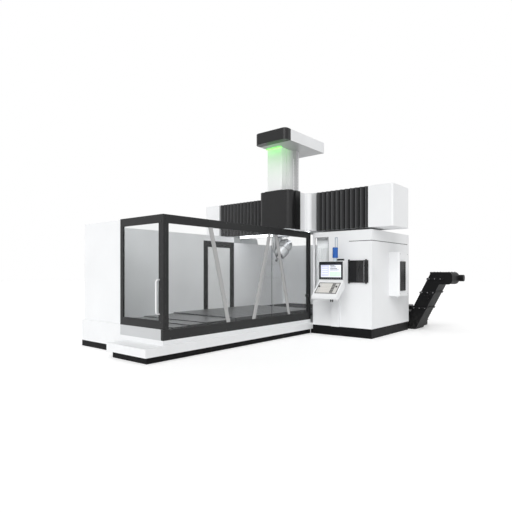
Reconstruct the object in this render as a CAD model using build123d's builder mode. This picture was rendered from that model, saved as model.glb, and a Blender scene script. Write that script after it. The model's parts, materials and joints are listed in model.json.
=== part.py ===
from build123d import *
import os
from math import atan2, cos, degrees, hypot, pi, radians, sin

os.makedirs("parts", exist_ok=True)

# Fixed-bridge machining center with a moving table, in millimetres.
# +X runs to the rear, +Y to the operator's far side, +Z up.
# The origin is on the floor, under the beam's front plane, on the table's centre line.

# Gaps, seats and cuts
fit_gap = 0.3
slide_gap = 5
overrun = 60

# Enclosure outline and its base
enclosure_length = 4545
enclosure_half_width = 1302
enclosure_top = 2478
wall_thickness = 50
plinth_height = 115
platform_height = 145
tier_height = 82
platform_reach = 405
platform_side_reach = 68
platform_step_width = 1120
plinth_inset = 75
trench_margin = 40

# Black side frame
frame_depth = 60
frame_bottom_height = 178
frame_top_height = 145
corner_width = 120
rear_post_width = 120
lintel_height = 78
groove_depth = 15
glass_play = 1

# Front door and the panels around it
door_thickness = 50
door_width = 1246
ledge_height = 188
ledge_depth = 105
stile_right = 120
stile_left = 83
door_bottom_rail = 146
rebate = 15
pane_thickness = 12
handle_width = 26
handle_depth = 20
handle_stand_off = 80
handle_height = 602
handle_bottom = 777
handle_inset = 100
handle_bend = 36
handle_edge = 4

# Sliding glass leaves on the operator's side
leaf_glass = 12
leaf_offset_front = 20
leaf_offset_rear = 44
leaf_meeting = 1485
leaf_overlap = 30
bar_width = 95
bar_front_thickness = 18
bar_rear_thickness = 10
bar_top_places = (3426, 1623, 1353)
bar_bottom_places = (2937, 2165, 855)
leaf_handle_size = 60
leaf_handle_reach = 86
leaf_handle_bottom = 900

# Left wall and its service door
service_door_width = 1180
service_frame_width = 160
service_opening_top = 2170
service_door_thickness = 40
service_door_play = 3
service_hinge_radius = 11.7
service_hinge_height = 120
service_strap_length = 100
service_strap_thickness = 8
service_hinge_share = 0.14
wall_seam_count = 4
wall_seam_width = 10
wall_seam_depth = 6
lever_height = 900
lever_plate = 160
lever_width = 40
lever_reach = 55
lever_length = 130
lever_inset = 60
lever_thickness = 18

# Rear guard and the see-through bay beside the window
rear_wall_reach = 2350
rear_guard_top = 2325
rib_places = (-960, -320, 320, 960)
rib_width = 70
rib_depth = 34
rib_foot = 520
bay_depth = 480

# Bed, rails and screw
bed_half_width = 640
bed_foot_half_width = 700
bed_foot_height = 60
bed_shoulder_height = 120
bed_height = 300
bed_end_gap = 30
channel_half_width = 180
channel_floor = 120
rail_width = 65
rail_height = 60
rail_half_spacing = 480
screw_radius = 40
screw_play = 0.4
screw_height = 230
screw_block_length = 60
screw_block_half_width = 100
screw_block_top = 290

# Table
table_length = 3000
table_half_width = 1000
table_thickness = 145
table_centre = -900
pad_half_width = 70
pad_height = 40
nut_length = 300
nut_half_width = 80
nut_bottom = 165
slot_count = 7
slot_pitch = 250
slot_width = 28
slot_neck_depth = 30
slot_head_width = 50
slot_head_depth = 22

# Telescopic covers in front of the table
cover_count = 4
cover_length_share = 0.4167
cover_sheet = 6
cover_step = 14
cover_drop = 25
cover_side_margin = 18
cover_floor_gap = 10
wiper_length = 20

# Folded cover behind the table
rear_fold_count = 14
rear_fold_depth = 70
rear_fold_sheet = 6
rear_fold_half_width = 960

# Portal
column_inner = 1431
column_width = 900
column_foot_depth = 1420
column_head_depth = 760
column_pocket_depth = 60
column_pocket_front = 140
column_pocket_lengths = (830, 530)
column_pocket_bottoms = (300, 1250)
column_pocket_heights = (750, 950)
beam_depth = 919
beam_bottom = 2506
beam_height = 929
beam_face_setback = 120
beam_chamfer = 140
beam_left_end = 1826
beam_right_end = 2824
end_cover_left = 570
end_cover_right = 577
end_cover_round = 40
beam_pocket_count = 6
beam_pocket_share = 0.78
beam_pocket_depth = 60
beam_pocket_low = 110
beam_pocket_high = 640
tray_place = 340
tray_width = 180
tray_height = 65
tray_sheet = 6
beam_rail_low = 134
beam_rail_high = 794
light_width = 60
light_height = 50
light_length = 2300
light_round = 16
light_setback = 150

# Bellows on the beam
bellows_depth = 60
bellows_sheet = 5
bellows_left_folds = 18
bellows_right_folds = 11

# Carriage, measured sideways from the ram's axis
ram_axis = -879.5
carriage_bottom = 2500
carriage_top = 3400
plate_right = 564.5
plate_left = 457.5
plate_depth = 250
plate_round = 100
cheek_right = 426
cheek_left = 375
cheek_depth = 298
channel_play = 6
cover_right = 489
cover_left = 425
cover_depth = 434
cover_skin = 8
cover_round = 130
ram_hole_play = 15
gap_front = 135
gap_width = 110
gap_depth = 30

# Ram and cap
ram_depth = 500
ram_width = 421
ram_back_reach = 415
ram_bottom = 2420
ram_top = 4419
ram_edge = 14
ram_channel_width = 150
ram_channel_depth = 16
ram_rail_width = 60
ram_rail_height = 13
cap_height = 261
cap_front_reach = 1402
cap_rear_reach = 205
cap_right = 684
cap_left = 201
cap_nose = 190
cap_round = 110
cap_edge = 12
status_light_width = 60
status_light_height = 14
rod_radius = 12
rod_play = 8
rod_reach = 300
rod_offset = 262
rod_length = 1040
chain_width = 90
chain_depth = 60
chain_length = 1089
chain_pitch = 72
chain_notch = 14
chain_notch_depth = 10
chain_centre = 415
chain_offset = 270
chain_play = 12

# Milling head
flange_radius = 210
flange_height = 40
crown_radius = 200
crown_height = 30
tilt_drop = 325
tilt_setback = 70
tilt_side_shift = 60
yoke_face = 110
yoke_thickness = 90
yoke_radius = 150
housing_radius = 160
housing_back = 70
housing_shoulder = 110
housing_nose_radius = 104
housing_front = 300
housing_rim = 24
housing_sides = 24
dome_steps = 5
dome_turn = 75
trunnion_radius = 68
trunnion_length = 140
spindle_radius = 64
spindle_bore_play = 0.4
spindle_seat = 60
spindle_nose_radius = 72
spindle_nose = 46
holder_radius = 38
holder_length = 52
cutter_radius = 27
cutter_length = 72
flute_count = 3
flute_radius = 11
flute_sides = 4
cutter_sides = 24
head_tilt = 45

# Right cabinet
cabinet_right = 2917
cabinet_left = 1370
cabinet_rear_gap = 157
cabinet_top = 2460
cabinet_plinth_height = 217
cabinet_plinth_inset = 15
cabinet_plinth_wall = 70
sheet_wall = 25
groove_height = 2210
groove_width = 14
groove_cut = 12
groove_start = 2349
groove_end_margin = 90
rear_door_lift = 14
rear_door_margin = 60
rear_door_gap = 12
rear_door_bottom = 290
rear_door_top = 2150
rear_grip_width = 30
rear_grip_height = 220
rear_grip_depth = 40
rear_grip_inset = 50
window_left = 1430
window_right = 1810
window_bottom = 870
window_top = 2337

# Tool hatch and magazine
hatch_left = 2338
hatch_right = 2833
hatch_bottom = 1259
hatch_top = 1766
hatch_thickness = 25
hatch_lip = 30
hatch_panel_recess = 6
hatch_frame = 34
hatch_hinge_radius = 10
hatch_hinge_height = 70
hatch_hinge_reach = 30
hatch_grip_width = 16
hatch_grip_depth = 14
hatch_grip_share = 0.82
magazine_radius = 230
magazine_depth = 90
magazine_front = 150
magazine_hub_radius = 60
magazine_arm_thickness = 70
magazine_arm_half_height = 80
pocket_count = 12
pocket_sides = 6
pocket_radius = 30
pocket_bore = 15
pocket_length = 70
pocket_share = 0.84

# Cooling unit on the cabinet's side, with its vent
cooler_width = 560
cooler_rear_margin = 703
cooler_bottom = 927
cooler_top = 1982
cooler_depth = 254
cooler_round = 40
vent_width = 288
vent_inset = 43
vent_bottom = 1055
vent_top = 1752
vent_depth = 26
vent_border = 24
louvre_count = 15
louvre_share = 0.55
louvre_cut = 16

# Operator console
duct_right = 2119
duct_left = 1909
duct_depth = 60
arm_height = 50
arm_half_width = 60
arm_reach = 210
arm_top = 1430
pivot_reach = 150
pivot_radius = 40
pivot_length = 170
pivot_play = 0.05
boss_radius = 80
console_centre = 2089
console_width = 630
console_face = 375
console_thickness = 85
console_bottom = 1320
console_top = 1745
console_edge = 14
screen_border = 8
screen_thickness = 6
tray_run = 330
tray_drop = 330
tray_rear_height = 1279
tray_lip = 46
tray_toe = 70
tray_toe_drop = 35
tray_depth = 138
keypad_side = 40
keypad_low = 96
keypad_high = 36
keypad_thickness = 4
key_columns = 12
key_field_share = 0.66
key_rows = 6
key_share = 0.74
key_height = 5
knob_radius = 21
knob_height = 24
knob_places = (-229, 212)
knob_lift = 73
knob_grip_count = 12
knob_skirt = 8
knob_skirt_sides = 24
knob_top_share = 0.82
lamp_offset = 91
lamp_base_radius = 52
lamp_base_height = 76
lamp_lens_radius = 62
lamp_lens_height = 230
lamp_lid_height = 12
lamp_rod_width = 12
lamp_rod_height = 250
lamp_rod_places = (0, 52)

# Chip conveyor and coolant tank
conveyor_width = 600
conveyor_start = 1200
conveyor_elbow = 2911
conveyor_height = 462
conveyor_foot_end = 3034
conveyor_rise = 981
conveyor_run = 498
head_length = 545
head_height = 314
head_lift = 57
head_round = 110
bracket_length = 120
bracket_height = 90
bracket_depth = 40
bracket_share = 0.45
flange_shares = (0.08, 0.5, 0.86)
flange_band = 40
flange_proud = 22
drive_box = 190
drive_depth = 110
motor_radius = 85
motor_length = 280
motor_sides = 16
chute_depth = 60
chute_margin = 60
chute_length = 330
tank_width = 700
tank_length = 1400
tank_height = 160
tank_lip = 16
tank_lip_height = 30
pump_radius = 70
pump_height = 340
pump_sides = 16
pump_base = 200
pump_base_height = 60
pump_shares = (0.25, 0.62)

# Places worked out from the sizes above
front_x = -enclosure_length
right_y = -enclosure_half_width
left_y = enclosure_half_width
platform_top = plinth_height + platform_height
tier_top = platform_top + tier_height
ledge_top = tier_top + ledge_height
frame_inner = right_y + frame_depth
frame_sill = tier_top + frame_bottom_height
frame_head = enclosure_top - frame_top_height
wall_front = front_x + door_thickness + slide_gap
wall_back = front_x + ledge_depth
post_back = front_x + corner_width
door_left = right_y + door_width
door_bottom = ledge_top + fit_gap
rear_inner = rear_wall_reach - wall_thickness
cabinet_depth = rear_wall_reach - cabinet_rear_gap
cooler_rear = cabinet_depth - cooler_rear_margin
cooler_front = cooler_rear - cooler_width
vent_front = cooler_front + vent_inset
vent_rear = vent_front + vent_width
bed_front = wall_back + bed_end_gap
bed_rear = rear_inner - bed_end_gap
rail_top = bed_height + rail_height
table_bottom = rail_top + pad_height
table_top = table_bottom + table_thickness
table_front = table_centre - table_length / 2
table_rear = table_centre + table_length / 2
beam_top = beam_bottom + beam_height
rail_face = beam_face_setback - rail_height
carriage_right_y = ram_axis - plate_right
carriage_left_y = ram_axis + plate_left
cheek_front = -plate_depth - cheek_depth
cover_front = cheek_front - cover_depth
ram_back = -ram_back_reach
ram_front = ram_back - ram_depth
ram_centre = (ram_front + ram_back) / 2
tilt_z = ram_bottom - tilt_drop
cap_bottom = ram_top
cap_top = cap_bottom + cap_height
hatch_axis = (-hatch_hinge_reach, -hatch_right)


def block(x_span, y_span, z_span, mode=Mode.ADD):
    """Adds or cuts a straight block between three pairs of limits."""
    centre = [(low + high) / 2 for low, high in (x_span, y_span, z_span)]
    size = [abs(high - low) for low, high in (x_span, y_span, z_span)]
    with Locations(tuple(centre)):
        Box(*size, mode=mode)


def xz_plane(y):
    """Upright plane along X at the given Y; extruding runs towards -Y."""
    return Plane.XZ.offset(-y)


def zigzag(start, end, folds, near, far, sheet):
    """Outline of a folded sheet between two ends, as (along, across) points."""
    steps = 2 * folds
    ridge = [(start + (end - start) * i / steps, near if i % 2 else far) for i in range(steps + 1)]
    return ridge + [(along, across + sheet) for along, across in reversed(ridge)]


# Bed casting with a screw channel between its two rail lands
with BuildPart() as bed:
    with BuildSketch(Plane.YZ.offset(bed_front)):
        Polygon(
            (-bed_foot_half_width, 0),
            (bed_foot_half_width, 0),
            (bed_foot_half_width, bed_foot_height),
            (bed_half_width, bed_shoulder_height),
            (bed_half_width, bed_height),
            (channel_half_width, bed_height),
            (channel_half_width, channel_floor),
            (-channel_half_width, channel_floor),
            (-channel_half_width, bed_height),
            (-bed_half_width, bed_height),
            (-bed_half_width, bed_shoulder_height),
            (-bed_foot_half_width, bed_foot_height),
            align=None,
        )
    extrude(amount=bed_rear - bed_front)

# Two rails on the bed and two on the beam's face
with BuildPart() as guide_rails:
    for side in (-rail_half_spacing, rail_half_spacing):
        rail_span = (side - rail_width / 2, side + rail_width / 2)
        block((bed_front, bed_rear), rail_span, (bed_height, rail_top))
    for lift in (beam_rail_low, beam_rail_high):
        rail_span = (beam_bottom + lift - rail_width / 2, beam_bottom + lift + rail_width / 2)
        block((rail_face, beam_face_setback), (-beam_right_end, beam_left_end), rail_span)

# Ball screw between two bearing blocks
screw_front = bed_front + screw_block_length
screw_rear = bed_rear - screw_block_length
with BuildPart() as table_screw:
    with BuildSketch(Plane.YZ.offset(screw_front)):
        with Locations((0, screw_height)):
            Circle(screw_radius)
    extrude(amount=screw_rear - screw_front)
    block_span = (-screw_block_half_width, screw_block_half_width)
    block((bed_front, screw_front), block_span, (channel_floor, screw_block_top))
    block((screw_rear, bed_rear), block_span, (channel_floor, screw_block_top))

# Table with T-slots, guide pads and the nut housing under it
with BuildPart() as table:
    with BuildSketch(Plane.YZ.offset(table_front)):
        with Locations((0, (table_bottom + table_top) / 2)):
            Rectangle(2 * table_half_width, table_thickness)
        with Locations((0, table_top - slot_neck_depth / 2)):
            with GridLocations(slot_pitch, slot_pitch, slot_count, 1):
                Rectangle(slot_width, slot_neck_depth, mode=Mode.SUBTRACT)
        with Locations((0, table_top - slot_neck_depth - slot_head_depth / 2)):
            with GridLocations(slot_pitch, slot_pitch, slot_count, 1):
                Rectangle(slot_head_width, slot_head_depth, mode=Mode.SUBTRACT)
        with Locations((0, table_bottom - pad_height / 2)):
            with GridLocations(2 * rail_half_spacing, pad_height, 2, 1):
                Rectangle(2 * pad_half_width, pad_height)
    extrude(amount=table_length)
    nut_span = (table_centre - nut_length / 2, table_centre + nut_length / 2)
    block(nut_span, (-nut_half_width, nut_half_width), (nut_bottom, table_bottom))
    with BuildSketch(Plane.YZ.offset(nut_span[0])):
        with Locations((0, screw_height)):
            Circle(screw_radius + screw_play)
    extrude(amount=nut_length, mode=Mode.SUBTRACT)


def way_cover(index):
    """One nested sheet of the front telescopic cover, with a wiper resting on the next sheet."""
    cover_length = (table_front - wall_back) * cover_length_share
    rest_step = (table_front - wall_back - cover_length) / (cover_count - 1)
    start = wall_back + rest_step * index
    drop = cover_step * (cover_count - 1 - index)
    top = table_top - cover_drop - drop
    half = table_half_width - cover_side_margin - drop
    foot = tier_top + cover_floor_gap
    with BuildPart() as sheet:
        block((start, start + cover_length), (-half, half), (foot, top))
        inner = half - cover_sheet
        block((start, start + cover_length), (-inner, inner), (foot, top - cover_sheet), Mode.SUBTRACT)
        if index > 0:
            lip_foot = top - cover_step + fit_gap
            block((start, start + wiper_length), (-inner, inner), (lip_foot, top - cover_sheet))
    return sheet


# Folded cover between the table and the rear wall
fold_top = table_top - cover_drop
with BuildPart() as way_bellows_rear:
    with BuildSketch(xz_plane(rear_fold_half_width)):
        fold_low = fold_top - rear_fold_depth
        fold_high = fold_top - rear_fold_sheet
        Polygon(
            *zigzag(table_rear, rear_inner, rear_fold_count, fold_high, fold_low, rear_fold_sheet),
            align=None,
        )
    extrude(amount=2 * rear_fold_half_width)

# Black plinths, set back under the platform and under the cabinet
trench_half = bed_foot_half_width + trench_margin
trench_x = (wall_back, overrun)
trench_y = (-trench_half, trench_half)
step_left = right_y - platform_side_reach + platform_step_width
with BuildPart() as base_plinth:
    with BuildSketch():
        Polygon(
            (front_x - platform_reach + plinth_inset, right_y - platform_side_reach + plinth_inset),
            (0, right_y - platform_side_reach + plinth_inset),
            (0, left_y),
            (front_x, left_y),
            (front_x, step_left - plinth_inset),
            (front_x - platform_reach + plinth_inset, step_left - plinth_inset),
            align=None,
        )
    extrude(amount=plinth_height)
    block(trench_x, trench_y, (0, plinth_height), Mode.SUBTRACT)
    ring_low = -cabinet_right + cabinet_plinth_inset
    ring_high = right_y
    ring_x = (cabinet_plinth_inset, cabinet_depth - cabinet_plinth_inset)
    block(ring_x, (ring_low, ring_high), (0, cabinet_plinth_height))
    block(
        (ring_x[0] + cabinet_plinth_wall, ring_x[1] - cabinet_plinth_wall),
        (ring_low + cabinet_plinth_wall, ring_high),
        (0, cabinet_plinth_height),
        Mode.SUBTRACT,
    )

# White platform: a broad step in front and beside, and the tier that carries the walls
with BuildPart() as base_platform:
    with BuildSketch(Plane.XY.offset(plinth_height)):
        Polygon(
            (front_x - platform_reach, right_y - platform_side_reach),
            (0, right_y - platform_side_reach),
            (0, left_y),
            (front_x, left_y),
            (front_x, step_left),
            (front_x - platform_reach, step_left),
            align=None,
        )
    extrude(amount=platform_height)
    block((front_x, 0), (right_y, left_y), (platform_top, tier_top))
    block(trench_x, trench_y, (plinth_height, tier_top), Mode.SUBTRACT)

# White front wall: the upper sheet stands back so that the door can slide over it
with BuildPart() as front_wall:
    with BuildSketch(xz_plane(left_y)):
        Polygon(
            (front_x, tier_top),
            (wall_back, tier_top),
            (wall_back, enclosure_top),
            (wall_front, enclosure_top),
            (wall_front, ledge_top),
            (front_x, ledge_top),
            align=None,
        )
    extrude(amount=left_y - door_left)

# Grey sill under the front door
with BuildPart() as door_sill_panel:
    block((front_x, wall_back), (frame_inner, door_left), (tier_top, ledge_top))

# Left wall, open at its rear end for the service door
service_front = -service_door_width
service_frame_top = service_opening_top + service_frame_width
wall_inner = left_y - wall_thickness
with BuildPart() as left_wall:
    with BuildSketch(xz_plane(left_y)):
        Polygon(
            (wall_back, tier_top),
            (service_front, tier_top),
            (service_front, service_frame_top),
            (0, service_frame_top),
            (0, enclosure_top),
            (wall_back, enclosure_top),
            align=None,
        )
    extrude(amount=wall_thickness)
    seam_pitch = (service_front - wall_back) / wall_seam_count
    for index in range(1, wall_seam_count):
        seam_x = wall_back + seam_pitch * index
        seam_span = (seam_x - wall_seam_width / 2, seam_x + wall_seam_width / 2)
        block(seam_span, (left_y - wall_seam_depth, left_y), (tier_top, enclosure_top), Mode.SUBTRACT)

# Black frame of the service door
with BuildPart() as left_door_frame:
    with BuildSketch(xz_plane(left_y)):
        Polygon(
            (service_front, tier_top),
            (service_front + service_frame_width, tier_top),
            (service_front + service_frame_width, service_opening_top),
            (-service_frame_width, service_opening_top),
            (-service_frame_width, tier_top),
            (0, tier_top),
            (0, service_frame_top),
            (service_front, service_frame_top),
            align=None,
        )
    extrude(amount=wall_thickness)

# Service door with two outside hinges and a lever handle
leaf_front = service_front + service_frame_width + service_door_play
leaf_rear = -service_frame_width - service_door_play
leaf_foot = tier_top + service_door_play
leaf_head = service_opening_top - service_door_play
service_axis_y = left_y + service_hinge_radius + fit_gap
with BuildPart() as left_door:
    block((leaf_front, leaf_rear), (left_y - service_door_thickness, left_y), (leaf_foot, leaf_head))
    for share in (service_hinge_share, 1 - service_hinge_share):
        hinge_z = leaf_foot + (leaf_head - leaf_foot) * share
        hinge_span = (hinge_z - service_hinge_height / 2, hinge_z + service_hinge_height / 2)
        strap_span = (left_y, left_y + service_strap_thickness)
        block((leaf_front, leaf_front + service_strap_length), strap_span, hinge_span)
        with Locations((leaf_front, service_axis_y, hinge_z)):
            Cylinder(service_hinge_radius, service_hinge_height)
    lever_x = (leaf_rear - lever_inset - lever_width, leaf_rear - lever_inset)
    lever_z = (leaf_foot + lever_height, leaf_foot + lever_height + lever_plate)
    block(lever_x, (left_y, left_y + lever_thickness), lever_z)
    grip_top = (lever_z[1] - lever_width - lever_thickness, lever_z[1] - lever_width)
    block((lever_x[1] - lever_thickness, lever_x[1]), (left_y, left_y + lever_reach), grip_top)
    lever_arm_y = (left_y + lever_reach - lever_thickness, left_y + lever_reach)
    block((lever_x[1] - lever_length, lever_x[1]), lever_arm_y, grip_top)

# Black welded frame of the operator's side, with tracks for two glass leaves
front_track = right_y + leaf_offset_front
rear_track = right_y + leaf_offset_rear
with BuildPart() as enclosure_frame:
    side_span = (right_y, frame_inner)
    block((front_x, 0), side_span, (tier_top, frame_sill))
    block((wall_front, post_back), side_span, (frame_sill, enclosure_top))
    block((-rear_post_width, 0), side_span, (frame_sill, enclosure_top))
    block((wall_front, 0), side_span, (frame_head, enclosure_top))
    block((wall_front, wall_back), (frame_inner, door_left), (enclosure_top - lintel_height, enclosure_top))
    for track in (front_track, rear_track):
        track_span = (track - glass_play, track + leaf_glass + glass_play)
        groove_x = (post_back, -rear_post_width)
        block(groove_x, track_span, (frame_sill - groove_depth, frame_head + groove_depth), Mode.SUBTRACT)

# Front door: a black frame with a rebate behind it for the pane
pane_y = (right_y + stile_right, door_left - stile_left)
pane_z = (door_bottom + door_bottom_rail, frame_head)
pane_back = front_x + door_thickness
seat_y = (pane_y[0] - rebate, pane_y[1] + rebate)
seat_z = (pane_z[0] - rebate, pane_z[1] + rebate)
pane_front = front_x + (door_thickness - pane_thickness) / 2
with BuildPart() as front_door_frame:
    block((front_x, pane_back), (right_y, door_left), (door_bottom, enclosure_top))
    block((front_x, pane_back), pane_y, pane_z, Mode.SUBTRACT)
    block((pane_front, pane_back), seat_y, seat_z, Mode.SUBTRACT)

with BuildPart() as front_door_glass:
    block((pane_front, pane_front + pane_thickness), seat_y, seat_z)

# Bent bar handle on the door's right stile
handle_y = right_y + handle_inset
handle_x = front_x - handle_stand_off
handle_top = handle_bottom + handle_height
with BuildPart() as front_door_handle:
    with BuildSketch(xz_plane(handle_y + handle_width / 2)):
        Polygon(
            (front_x, handle_bottom),
            (handle_x + handle_bend, handle_bottom),
            (handle_x, handle_bottom + handle_bend),
            (handle_x, handle_top - handle_bend),
            (handle_x + handle_bend, handle_top),
            (front_x, handle_top),
            (front_x, handle_top - handle_depth),
            (handle_x + handle_bend, handle_top - handle_depth),
            (handle_x + handle_depth, handle_top - handle_bend),
            (handle_x + handle_depth, handle_bottom + handle_bend),
            (handle_x + handle_bend, handle_bottom + handle_depth),
            (front_x, handle_bottom + handle_depth),
            align=None,
        )
    extrude(amount=handle_width)
    for side in front_door_handle.faces().sort_by(Axis.Y)[:: len(front_door_handle.faces()) - 1]:
        chamfer(side.edges().filter_by(lambda edge: edge.center().X < front_x), handle_edge)

# Glass leaves that run in the frame's tracks
leaf_z = (frame_sill - groove_depth + fit_gap, frame_head + groove_depth - slide_gap)
with BuildPart() as side_door_front_glass:
    front_leaf_x = (post_back + slide_gap, -leaf_meeting + leaf_overlap / 2)
    block(front_leaf_x, (front_track, front_track + leaf_glass), leaf_z)

with BuildPart() as side_door_rear_glass:
    rear_leaf_x = (-leaf_meeting - leaf_overlap / 2, -rear_post_width - slide_gap)
    block(rear_leaf_x, (rear_track, rear_track + leaf_glass), leaf_z)


def bar_outline(place):
    """Corners of an inclined bar, from the lower rail to the upper one."""
    foot = (-bar_bottom_places[place], frame_sill + glass_play)
    head = (-bar_top_places[place], frame_head - glass_play)
    half = bar_width / 2
    lower = [(foot[0] - half, foot[1]), (foot[0] + half, foot[1])]
    upper = [(head[0] + half, head[1]), (head[0] - half, head[1])]
    return lower + upper


# Inclined bars on the outer faces of the leaves
with BuildPart() as side_door_front_bars:
    with BuildSketch(xz_plane(front_track)):
        for place in (0, 1):
            Polygon(*bar_outline(place), align=None)
    extrude(amount=bar_front_thickness)

with BuildPart() as side_door_rear_bar:
    with BuildSketch(xz_plane(rear_track)):
        Polygon(*bar_outline(2), align=None)
    extrude(amount=bar_rear_thickness)
    grip_x = (rear_leaf_x[1] - leaf_handle_size, rear_leaf_x[1])
    grip_z = (leaf_handle_bottom, leaf_handle_bottom + leaf_handle_size)
    block(grip_x, (rear_track - leaf_handle_reach, rear_track), grip_z)

# Rear guard: two side walls and the ribbed rear wall behind the portal
with BuildPart() as rear_guard:
    with BuildSketch():
        Polygon(
            (bay_depth, right_y),
            (rear_wall_reach, right_y),
            (rear_wall_reach, left_y),
            (0, left_y),
            (0, wall_inner),
            (rear_inner, wall_inner),
            (rear_inner, -wall_inner),
            (bay_depth, -wall_inner),
            align=None,
        )
    extrude(amount=rear_guard_top)
    for place in rib_places:
        rib_x = (rear_wall_reach, rear_wall_reach + rib_depth)
        block(rib_x, (place - rib_width / 2, place + rib_width / 2), (rib_foot, rear_guard_top))


# Columns that lean back behind the beam
column_outline = [
    (bay_depth, 0),
    (bay_depth + column_foot_depth, 0),
    (bay_depth + column_head_depth, beam_bottom),
    (bay_depth, beam_bottom),
]
with BuildPart() as left_column:
    with BuildSketch(xz_plane(column_inner + column_width)):
        Polygon(*column_outline, align=None)
    extrude(amount=column_width)
    pocket_start = bay_depth + column_pocket_front
    outer_y = column_inner + column_width
    pocket_sizes = zip(column_pocket_lengths, column_pocket_bottoms, column_pocket_heights)
    for length, bottom, height in pocket_sizes:
        pocket_y = (outer_y - column_pocket_depth, outer_y)
        block((pocket_start, pocket_start + length), pocket_y, (bottom, bottom + height), Mode.SUBTRACT)

# The right column also carries the tool magazine on an arm
hatch_centre_y = -(hatch_left + hatch_right) / 2
hatch_centre_z = (hatch_bottom + hatch_top) / 2
column_right_y = -column_inner - column_width
with BuildPart() as right_column:
    with BuildSketch(xz_plane(-column_inner)):
        Polygon(*column_outline, align=None)
    extrude(amount=column_width)
    arm_z = (hatch_centre_z - magazine_arm_half_height, hatch_centre_z + magazine_arm_half_height)
    arm_y = (hatch_centre_y - magazine_hub_radius, column_right_y + overrun)
    block((bay_depth - magazine_arm_thickness, bay_depth + overrun), arm_y, arm_z)

# Tool magazine: a disc with pockets near its rim, on a hub that turns against the arm
with BuildPart() as tool_magazine:
    with BuildSketch(Plane.YZ.offset(magazine_front)):
        with Locations((hatch_centre_y, hatch_centre_z)):
            Circle(magazine_radius)
    extrude(amount=magazine_depth)
    with BuildSketch(Plane.YZ.offset(magazine_front)):
        with Locations((hatch_centre_y, hatch_centre_z)):
            with PolarLocations(magazine_radius * pocket_share, pocket_count):
                RegularPolygon(pocket_radius, pocket_sides)
                RegularPolygon(pocket_bore, pocket_sides, mode=Mode.SUBTRACT)
    extrude(amount=-pocket_length)
    with BuildSketch(Plane.YZ.offset(magazine_front)):
        with Locations((hatch_centre_y, hatch_centre_z)):
            Circle(magazine_hub_radius)
    extrude(amount=bay_depth - magazine_arm_thickness - magazine_front)

# Crossbeam casting with a sloped upper rear edge, cast pockets behind and a cable tray on top
with BuildPart() as crossbeam:
    with BuildSketch(xz_plane(beam_left_end)):
        Polygon(
            (beam_face_setback, beam_bottom),
            (beam_depth, beam_bottom),
            (beam_depth, beam_top - beam_chamfer),
            (beam_depth - beam_chamfer, beam_top),
            (beam_face_setback, beam_top),
            align=None,
        )
    extrude(amount=beam_left_end + beam_right_end)
    pocket_pitch = (beam_left_end + beam_right_end) / beam_pocket_count
    pocket_z = (beam_bottom + beam_pocket_low, beam_bottom + beam_pocket_high)
    for index in range(beam_pocket_count):
        pocket_mid = pocket_pitch * (index + 1 / 2) - beam_right_end
        pocket_half = pocket_pitch * beam_pocket_share / 2
        pocket_y = (pocket_mid - pocket_half, pocket_mid + pocket_half)
        block((beam_depth - beam_pocket_depth, beam_depth), pocket_y, pocket_z, Mode.SUBTRACT)
    tray_x = (tray_place, tray_place + tray_width)
    inside_x = (tray_x[0] + tray_sheet, tray_x[1] - tray_sheet)
    beam_span = (-beam_right_end, beam_left_end)
    block(tray_x, beam_span, (beam_top, beam_top + tray_height))
    block(inside_x, beam_span, (beam_top + tray_sheet, beam_top + tray_height), Mode.SUBTRACT)


# White boxes over the ends of the beam, with rounded upright edges
with BuildPart() as beam_cover_left:
    block((0, beam_depth), (beam_left_end, beam_left_end + end_cover_left), (beam_bottom, beam_top))
    fillet(beam_cover_left.edges().filter_by(Axis.Z).sort_by(Axis.Y)[-2:], end_cover_round)

with BuildPart() as beam_cover_right:
    block((0, beam_depth), (-beam_right_end - end_cover_right, -beam_right_end), (beam_bottom, beam_top))
    fillet(beam_cover_right.edges().filter_by(Axis.Z).sort_by(Axis.Y)[:2], end_cover_round)

# Bellows along the beam's face, one each side of the carriage
bellows_back = rail_face - slide_gap
bellows_front = bellows_back - bellows_depth


def fold_outline(start, end, folds):
    """Plan of the upright folds between the carriage and an end cover."""
    points = zigzag(start, end, folds, bellows_front, bellows_back - bellows_sheet, bellows_sheet)
    return [(across, along) for along, across in points]


with BuildPart() as bellows_left:
    with BuildSketch(Plane.XY.offset(beam_bottom)):
        Polygon(*fold_outline(carriage_left_y, beam_left_end, bellows_left_folds), align=None)
    extrude(amount=beam_height)

with BuildPart() as bellows_right:
    with BuildSketch(Plane.XY.offset(beam_bottom)):
        Polygon(*fold_outline(carriage_right_y, -beam_right_end, bellows_right_folds), align=None)
    extrude(amount=beam_height)

# Light tube under the beam
with BuildPart() as work_light:
    with BuildSketch(xz_plane(light_length / 2)):
        light_centre = light_setback + light_width / 2
        with Locations((light_centre, beam_bottom - light_height / 2)):
            RectangleRounded(light_width, light_height, light_round)
    extrude(amount=light_length)

# Carriage body: a wide plate on the beam's rails and two cheeks that guide the ram
ram_right = ram_axis - ram_width / 2
ram_left = ram_axis + ram_width / 2
chain_y = ram_axis - chain_offset
with BuildPart() as carriage_body:
    height_span = (carriage_bottom, carriage_top)
    block((-plate_depth, rail_face), (carriage_right_y, carriage_left_y), height_span)
    fillet(carriage_body.edges().filter_by(Axis.Z).sort_by(Axis.X)[:2], plate_round)
    block((cheek_front, -plate_depth), (ram_axis - cheek_right, ram_axis + cheek_left), height_span)
    ram_span = (ram_right - channel_play, ram_left + channel_play)
    block((cheek_front, ram_back), ram_span, height_span, Mode.SUBTRACT)
    chain_x = (-chain_centre - chain_width / 2 - chain_play, -chain_centre + chain_width / 2 + chain_play)
    chain_span = (chain_y - chain_depth / 2 - chain_play, ram_right)
    block(chain_x, chain_span, height_span, Mode.SUBTRACT)
    with BuildSketch(Plane.XY.offset(carriage_bottom)):
        with Locations((-rod_reach, ram_axis - rod_offset)):
            Circle(rod_radius + rod_play)
    extrude(amount=carriage_top - carriage_bottom, mode=Mode.SUBTRACT)

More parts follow.
